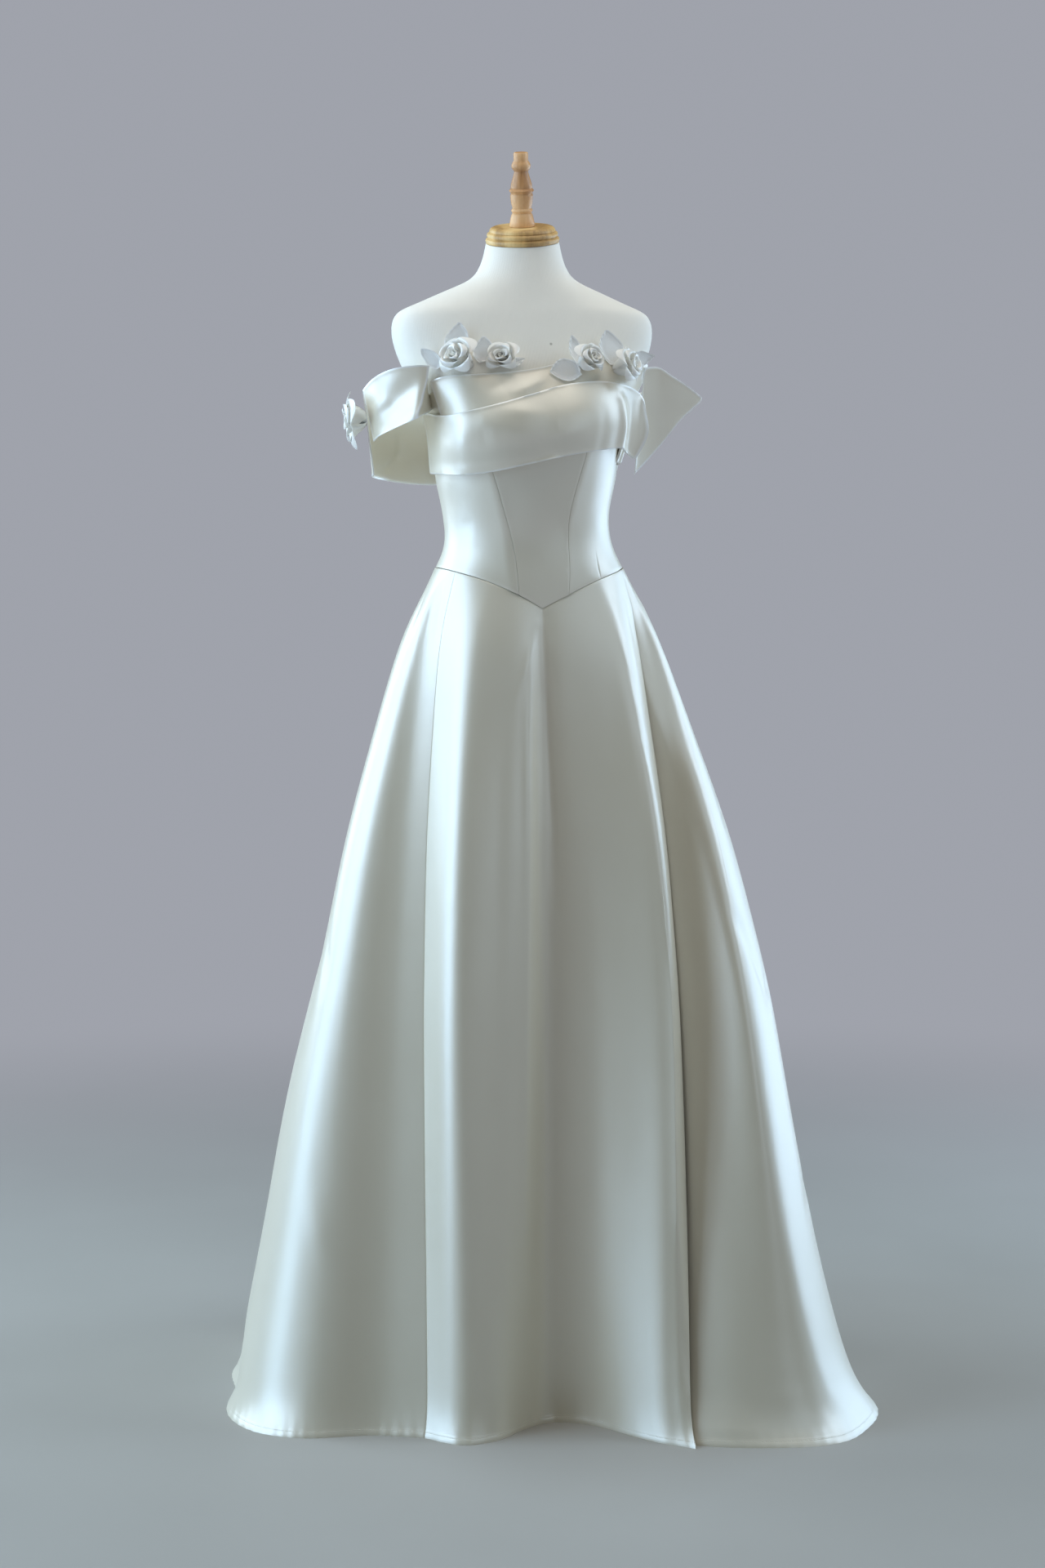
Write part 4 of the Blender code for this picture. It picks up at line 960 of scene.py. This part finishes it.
# %% Sleeves
SLEEVE_EDGE = 0.6 * MM
SLEEVE_CREASES = (
    # the slanting fold of the right front strip
    Crease(-66.0, 1.459, -82.0, 1.404, 0.0130, (-0.0030, -0.0055, -0.0040, -0.0010)),
    Crease(-64.5, 1.405, -86.0, 1.374, 0.0160, (0.0060, 0.0060, 0.0020)),
    Crease(-63.5, 1.462, -63.5, 1.410, 0.0100, (0.0020, 0.0050, 0.0060)),
    Crease(-79.0, 1.428, -83.0, 1.420, 0.0080, (0.0024, 0.0024)),
    # the curved fold of the right back strip
    Crease(-108.0, 1.328, -116.0, 1.338, 0.0050, (0.0, 0.0020)),
    Crease(-116.0, 1.338, -121.3, 1.356, 0.0050, (0.0020, 0.0024)),
    Crease(-121.3, 1.356, -122.5, 1.385, 0.0050, (0.0024, 0.0016)),
    Crease(-127.0, 1.335, -131.0, 1.385, 0.0090, (0.0, -0.0024, 0.0)),
    # the left loop
    Crease(74.0, 1.395, 84.0, 1.440, 0.0120, (0.0, -0.0022, 0.0)),
    Crease(110.0, 1.350, 122.0, 1.385, 0.0100, (0.0, 0.0024, 0.0)),
    Crease(124.0, 1.345, 132.0, 1.380, 0.0100, (0.0, -0.0020, 0.0)),
)
SLEEVES = (
    Cut("sleeve_right_front", 0.125, 0.105, 0.0120),
    Cut("sleeve_right_back", 0.205, 0.130, 0.0245),
    Cut("sleeve_left_front", 0.115, 0.150, 0.0084),
    Cut("sleeve_left_back", 0.210, 0.115, 0.0188),
)
for cut in SLEEVES:
    strip = copied(cut.node, cut.node + "_satin", 3)
    rim = cut_rim(strip)
    fold_over(strip, SLEEVE_CREASES, rim)
    mark_rim(strip, rim)
    roll_edges(strip, SLEEVE_EDGE)
    unroll(strip)
    clad(strip, GOWN_SATIN)
    declare(strip, cut, "folded", "band_upper", "band_back_right", "band_back_left")

# %% [markdown]
# ## The sheer leaves
# The leaves round the roses are cut from organza, folded once down the middle while
# damp, and their edges are sealed, which makes a fine bright rim. The rim is found from
# each point's distance to the cut edge, and goes into the UV map for the finish.

# %% Organza leaves
LEAF_EDGE = 0.25 * MM
LEAVES = (
    Cut("petal_right_peak", 0.034, 0.050, 0.00137),
    Cut("petal_right_tip", 0.024, 0.037, 0.00066),
    Cut("petal_right_middle", 0.032, 0.037, 0.00089),
    Cut("petal_right_low", 0.016, 0.032, 0.00037),
    Cut("petal_left_band", 0.036, 0.050, 0.00130),
    Cut("petal_left_tip", 0.026, 0.042, 0.00080),
    Cut("petal_left_peak", 0.040, 0.050, 0.00156),
    Cut("petal_left_leaf", 0.024, 0.038, 0.00068),
)
LEAF_CUP = 2.4 * MM
CUP_REACH = 4 * MM
LEAF_RUFFLE = 0.7 * MM
RUFFLE_REACH = 3 * MM
RUFFLE_RUN = (520.0, 410.0, 640.0)


def shape_leaf(piece):
    """Cups a leaf towards its rim and ruffles the rim itself."""
    rim = rim_distance(piece, cut_rim(piece))
    points = points_of(piece)
    cup = LEAF_CUP * np.exp(-(rim / CUP_REACH) ** 2)
    ruffle = np.sin(points @ np.array(RUFFLE_RUN)) * np.exp(-(rim / RUFFLE_REACH) ** 2)
    set_points(piece, push_out(points, cup + LEAF_RUFFLE * ruffle))
    write_uv(piece, np.column_stack((rim, points[:, 2])))


for cut in LEAVES:
    leaf = copied(cut.node, cut.node + "_organza", 3)
    shape_leaf(leaf)
    roll_edges(leaf, LEAF_EDGE)
    clad(leaf, ORGANZA)
    declare(leaf, cut, "laid", "form_torso")

# %% [markdown]
# ## The roses
# A hand-rolled rose is a tight coil of satin with rings of folded petals round it. Each
# petal is a grid that is bent by a rule: it rises from a narrow foot, swings outwards,
# rolls over at its rim and is lower at its two sides. One edge tucks under the petal
# before it. The rings grow wider and lower from the heart out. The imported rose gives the
# place and the radius, so the soft one fills the same room.

# %% The rings of a rose
Ring = namedtuple("Ring", "petals foot rim tall flare curl wide turn")
RINGS = (
    Ring(3, 0.12, 0.42, 1.02, 1.20, 0.05, 150, 0),
    Ring(3, 0.20, 0.74, 0.98, 0.90, 0.12, 138, 55),
    Ring(4, 0.26, 1.02, 0.80, 0.75, 0.20, 116, 20),
)
ROSE_STRIPS = (
    Cut("rose_right_outer", 0.310, 0.050, 0.0124),
    Cut("rose_right_inner", 0.210, 0.042, 0.0067),
    Cut("rose_left_inner", 0.240, 0.042, 0.0077),
    Cut("rose_left_outer", 0.270, 0.046, 0.0096),
    Cut("rosette_sleeve", 0.340, 0.052, 0.0138),
)
Bloom = namedtuple("Bloom", "node angle lean full deep drop low_side start seed")
BLOOMS = (
    Bloom("rose_right_outer", -50.5, 20, 1.32, 1.25, 6 * MM, 0.72, 205, 1),
    Bloom("rose_right_inner", -29.0, 22, 1.30, 1.15, 5 * MM, 0.72, 20, 2),
    Bloom("rose_left_inner", 33.5, 20, 1.36, 1.25, 3 * MM, 0.80, 120, 3),
    Bloom("rose_left_outer", 52.5, 16, 1.36, 1.25, 0, 0.90, 300, 4),
    Bloom("rosette_sleeve", -96.0, -6.5, 1.04, 1.30, 0, 1.0, 90, 5),
)
PETAL_THICK = 0.7 * MM
PETAL_GRID = (14, 8)
PETAL_ROUND = 2.4
SIDE_DROP = 0.42
ROLL_FROM = 0.78
TUCK = 0.05
RIM_WAVE = 0.035
POINT_LEAST = 0.05
POINT_MOST = 0.11
TURN_CHANCE = 0.14
HEART_GRID = (34, 5)
HEART_TURNS = 1.6


def facing(angle, lean):
    """Across, up and out of a flower that faces an angle and leans up."""
    turn, rise = math.radians(angle), math.radians(lean)
    out = Vector((math.cos(rise) * math.sin(turn), -math.cos(rise) * math.cos(turn),
                  math.sin(rise)))
    across = Vector((math.cos(turn), math.sin(turn), 0))
    return across, out.cross(across), out


def sheet_of(columns, rows):
    """A flat grid, its points' shares across (-1 to 1) and up (0 to 1)."""
    bpy.ops.object.select_all(action="DESELECT")
    bpy.ops.mesh.primitive_grid_add(x_subdivisions=columns, y_subdivisions=rows, size=2)
    piece = bpy.context.object
    points = points_of(piece)
    return piece, points[:, 0], (points[:, 1] + 1) / 2


def bend_petal(across, up, ring, turn, chance):
    """Angle, reach and height of a petal's points, all as shares of the rose's size."""
    along = up * (1 - SIDE_DROP * np.abs(across) ** PETAL_ROUND)
    width = 0.55 + 0.45 * np.sin(np.pi * along / 1.25)
    angle = turn + across * math.radians(ring.wide) / 2 * width
    reach = ring.foot + (ring.rim - ring.foot) * along ** ring.flare
    rolled = np.clip((along - ROLL_FROM) / (1 - ROLL_FROM), 0, 1) ** 2
    reach += ring.curl * rolled + TUCK * across * along
    reach += RIM_WAVE * np.sin(3.3 * across + chance.uniform(0, 6)) * along
    reach += chance.uniform(POINT_LEAST, POINT_MOST) * (1 - np.abs(across)) ** 2 * along ** 3
    height = ring.tall * np.sin(np.pi / 2 * np.minimum(along * 1.12, 1.0))
    height -= 1.3 * ring.curl * rolled
    height += 0.05 * np.sin(2.6 * across + chance.uniform(0, 6)) * along
    return angle, reach, height


def bend_heart(across, up, turn):
    """The coil at the heart of a rose."""
    share = (across + 1) / 2
    angle = turn + 2 * math.pi * HEART_TURNS * share
    reach = 0.06 + 0.26 * share ** 0.9 - 0.03 * up
    height = (1.06 - 0.14 * share) * up
    return angle, reach, height


# %% Making a rose
def roll_rose(bloom):
    """A heart and rings of petals, joined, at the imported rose's place and size."""
    chance = np.random.default_rng(bloom.seed)
    across, up, out = facing(bloom.angle, bloom.lean)
    packed = points_of(NODES[bloom.node])
    sideways, upwards, outwards = (packed @ np.array(axis) for axis in (across, up, out))
    middle = across * (sideways.min() + sideways.max()) / 2
    middle += up * ((upwards.max() + upwards.min()) / 2)
    middle += out * outwards.min() - up * bloom.drop
    radius = bloom.full * (sideways.max() - sideways.min()) / 2
    tall = bloom.deep * (outwards.max() - outwards.min())
    parts = []

    def place(piece, angle, reach, height):
        """Sets a bent sheet into the rose and gives it its thickness."""
        flat_x = radius * reach * np.cos(angle)
        flat_y = radius * reach * np.sin(angle)
        flat_y = np.where(flat_y < 0, bloom.low_side * flat_y, flat_y)
        axes = np.array((across, up, out))
        set_points(piece, np.array(middle) + np.column_stack((flat_x, flat_y, tall * height)) @ axes)
        add_and_apply(piece, "SOLIDIFY", thickness=PETAL_THICK, offset=0)
        add_and_apply(piece, "SUBSURF", levels=1, render_levels=1)
        parts.append(piece)

    start = math.radians(bloom.start)
    piece, share, rise = sheet_of(*HEART_GRID)
    place(piece, *bend_heart(share, rise, start))
    for ring in RINGS:
        for number in range(ring.petals):
            turn = start + math.radians(ring.turn) + 2 * math.pi * number / ring.petals
            turn += chance.uniform(-TURN_CHANCE, TURN_CHANCE)
            piece, share, rise = sheet_of(*PETAL_GRID)
            place(piece, *bend_petal(share, rise, ring, turn, chance))
    bpy.ops.object.select_all(action="DESELECT")
    for piece in parts:
        piece.select_set(True)
    bpy.context.view_layer.objects.active = parts[0]
    bpy.ops.object.join()
    rose = bpy.context.object
    rose.name = bloom.node + "_satin"
    only(rose)
    bpy.ops.object.transform_apply(location=True, rotation=True, scale=True)
    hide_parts(bloom.node)
    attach(rose, "root")
    return rose


for bloom, cut in zip(BLOOMS, ROSE_STRIPS):
    rose = roll_rose(bloom)
    unroll(rose)
    clad(rose, ROSE_SATIN)
    declare(rose, cut, "folded", "sleeve_right_front" if bloom.lean < 0 else "form_torso")

# %% [markdown]
# ## The form, its stand and the zip
# The torso is padded and covered with a drawn jersey skin, so it has no creases. The cap
# and the finial are turned wood: an outline is spun, as on a lathe, and set on the neck's
# slanted top. The stand is painted, and shows only from below. The zip's slider and pull
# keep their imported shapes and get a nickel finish.

# %% Form
torso = copied("form_torso", "form_torso_jersey", 2)
clad(torso, JERSEY)
print("faces on the torso:", len(torso.data.polygons))

# %% The turned cap and finial: heights and radii in millimetres up the slanted neck
NECK_TOP = 1.657
NECK_SLANT = math.radians(13)
NECK_LEAN = math.radians(-18)
CAP_TALL = 23.3
CAP_TURNING = ((0.3, 50.4), (1.2, 52.0), (4.0, 53.0), (6.6, 52.3), (7.9, 50.2), (8.6, 49.3),
               (9.6, 50.4), (12.2, 51.0), (14.4, 50.0), (15.5, 47.8), (16.2, 46.8), (17.2, 47.4),
               (19.6, 46.6), (21.6, 44.8), (23.0, 41.5))
FINIAL_TURNING = ((0.3, 18.0), (1.2, 18.4), (9.0, 17.0), (16.0, 15.3), (18.0, 14.2), (19.0, 13.3),
                  (20.2, 14.2), (22.6, 15.4), (24.8, 14.4), (25.8, 13.2), (27.0, 13.6),
                  (33.0, 15.2), (42.0, 16.2), (45.4, 15.9), (46.6, 15.0), (47.6, 15.6),
                  (50.6, 17.8), (52.8, 16.4), (53.8, 15.1), (55.0, 15.5), (60.0, 14.9),
                  (70.0, 11.8), (76.4, 10.0), (77.8, 9.8), (79.2, 11.2), (82.6, 13.3),
                  (86.0, 13.7), (89.6, 12.4), (92.0, 10.6), (93.4, 10.2), (103.0, 10.3),
                  (104.3, 9.4))
LATHE_STEPS = 64


def lathe(node, name, turning, base):
    """Spins an outline, and sets it on the slanted top of the neck."""
    bpy.ops.object.select_all(action="DESELECT")
    bpy.ops.mesh.primitive_plane_add(size=MM)
    piece = bpy.context.object
    piece.name = name
    bpy.ops.object.mode_set(mode="EDIT")
    bpy.ops.mesh.merge(type="CENTER")
    low, wide = turning[0]
    bpy.ops.transform.translate(value=(0, 0, low * MM))
    bpy.ops.mesh.extrude_vertices_move(TRANSFORM_OT_translate={"value": (wide * MM, 0, 0)})
    for (height, radius), (next_height, next_radius) in zip(turning, turning[1:]):
        step = ((next_radius - radius) * MM, 0, (next_height - height) * MM)
        bpy.ops.mesh.extrude_vertices_move(TRANSFORM_OT_translate={"value": step})
    bpy.ops.mesh.extrude_vertices_move(TRANSFORM_OT_translate={"value": (-turning[-1][1] * MM, 0, 0)})
    bpy.ops.mesh.select_all(action="SELECT")
    bpy.ops.mesh.spin(steps=LATHE_STEPS, angle=2 * math.pi, center=(0, 0, 0), axis=(0, 0, 1))
    bpy.ops.mesh.select_all(action="SELECT")
    bpy.ops.mesh.remove_doubles(threshold=WELD)
    bpy.ops.mesh.normals_make_consistent(inside=False)
    bpy.ops.object.mode_set(mode="OBJECT")
    towards = Vector((math.sin(NECK_LEAN), -math.cos(NECK_LEAN), 0))
    lean = Matrix.Rotation(NECK_SLANT, 4, Vector((0, 0, 1)).cross(towards))
    piece.data.transform(Matrix.Translation((0, 0, NECK_TOP)) @ lean @ Matrix.Translation((0, 0, base)))
    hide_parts(node)
    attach(piece, "root")
    return piece


cap = lathe("form_neck_cap", "form_neck_cap_turned", CAP_TURNING, 0)
clad(cap, CAP_WOOD)
finial = lathe("form_finial", "form_finial_turned", FINIAL_TURNING, CAP_TALL * MM)
clad(finial, FINIAL_WOOD)
print("faces on the finial:", len(finial.data.polygons))

# %% Stand and zip
for node in ("stand_base", "stand_pole", "stand_plate"):
    NODES[node].material_slots[0].material = STAND_PAINT
    print(node, "is painted")
for node in ("zip_slider", "zip_pull"):
    NODES[node].material_slots[0].material = ZIP_NICKEL
    print(node, "is plated")

# %% [markdown]
# ## The zip's teeth
# Below the slider the zip is closed: small teeth lock across the centre-back seam, down to
# the waist. One tooth is a block with rounded edges. Its copies follow the cloth, left and
# right in turn, and are joined into one piece.

# %% Teeth
TOOTH = (2.4 * MM, 1.0 * MM, 1.1 * MM)
TOOTH_PITCH = 1.9 * MM
TOOTH_SHIFT = 0.5 * MM
BESIDE_ZIP = 6 * MM
TEETH_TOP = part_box("zip_slider")[0][2] - 1.5 * MM
TEETH_END = 1.198


def cloth_behind(height):
    """How far back the cloth reaches beside the centre-back seam at a height."""
    graph = bpy.context.evaluated_depsgraph_get()
    found = [bpy.context.scene.ray_cast(graph, (side, 1, height), (0, -1, 0))[1].y
             for side in (-BESIDE_ZIP, BESIDE_ZIP)]
    return sum(found) / 2


bpy.ops.object.select_all(action="DESELECT")
bpy.ops.mesh.primitive_cube_add(size=1)
tooth = bpy.context.object
tooth.name = "zip_teeth"
bpy.ops.object.mode_set(mode="EDIT")
bpy.ops.transform.resize(value=TOOTH)
bpy.ops.object.mode_set(mode="OBJECT")
add_and_apply(tooth, "BEVEL", width=0.3 * MM, segments=1)
shape = points_of(tooth)
teeth = [tooth]
for height in np.arange(TEETH_TOP, TEETH_END, -TOOTH_PITCH):
    side = TOOTH_SHIFT if len(teeth) % 2 else -TOOTH_SHIFT
    one = tooth.copy()
    one.data = tooth.data.copy()
    bpy.context.scene.collection.objects.link(one)
    set_points(one, shape + np.array((side, cloth_behind(height), height)))
    teeth.append(one)
bpy.data.objects.remove(teeth.pop(0))
only(teeth[0])
for one in teeth:
    one.select_set(True)
bpy.ops.object.join()
zip_teeth = bpy.context.object
zip_teeth.name = "zip_teeth"
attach(zip_teeth, "root")
clad(zip_teeth, ZIP_NICKEL)
print("teeth on the zip:", len(teeth))

# %% [markdown]
# ## The end

# %% The end
print("the gown is dressed")
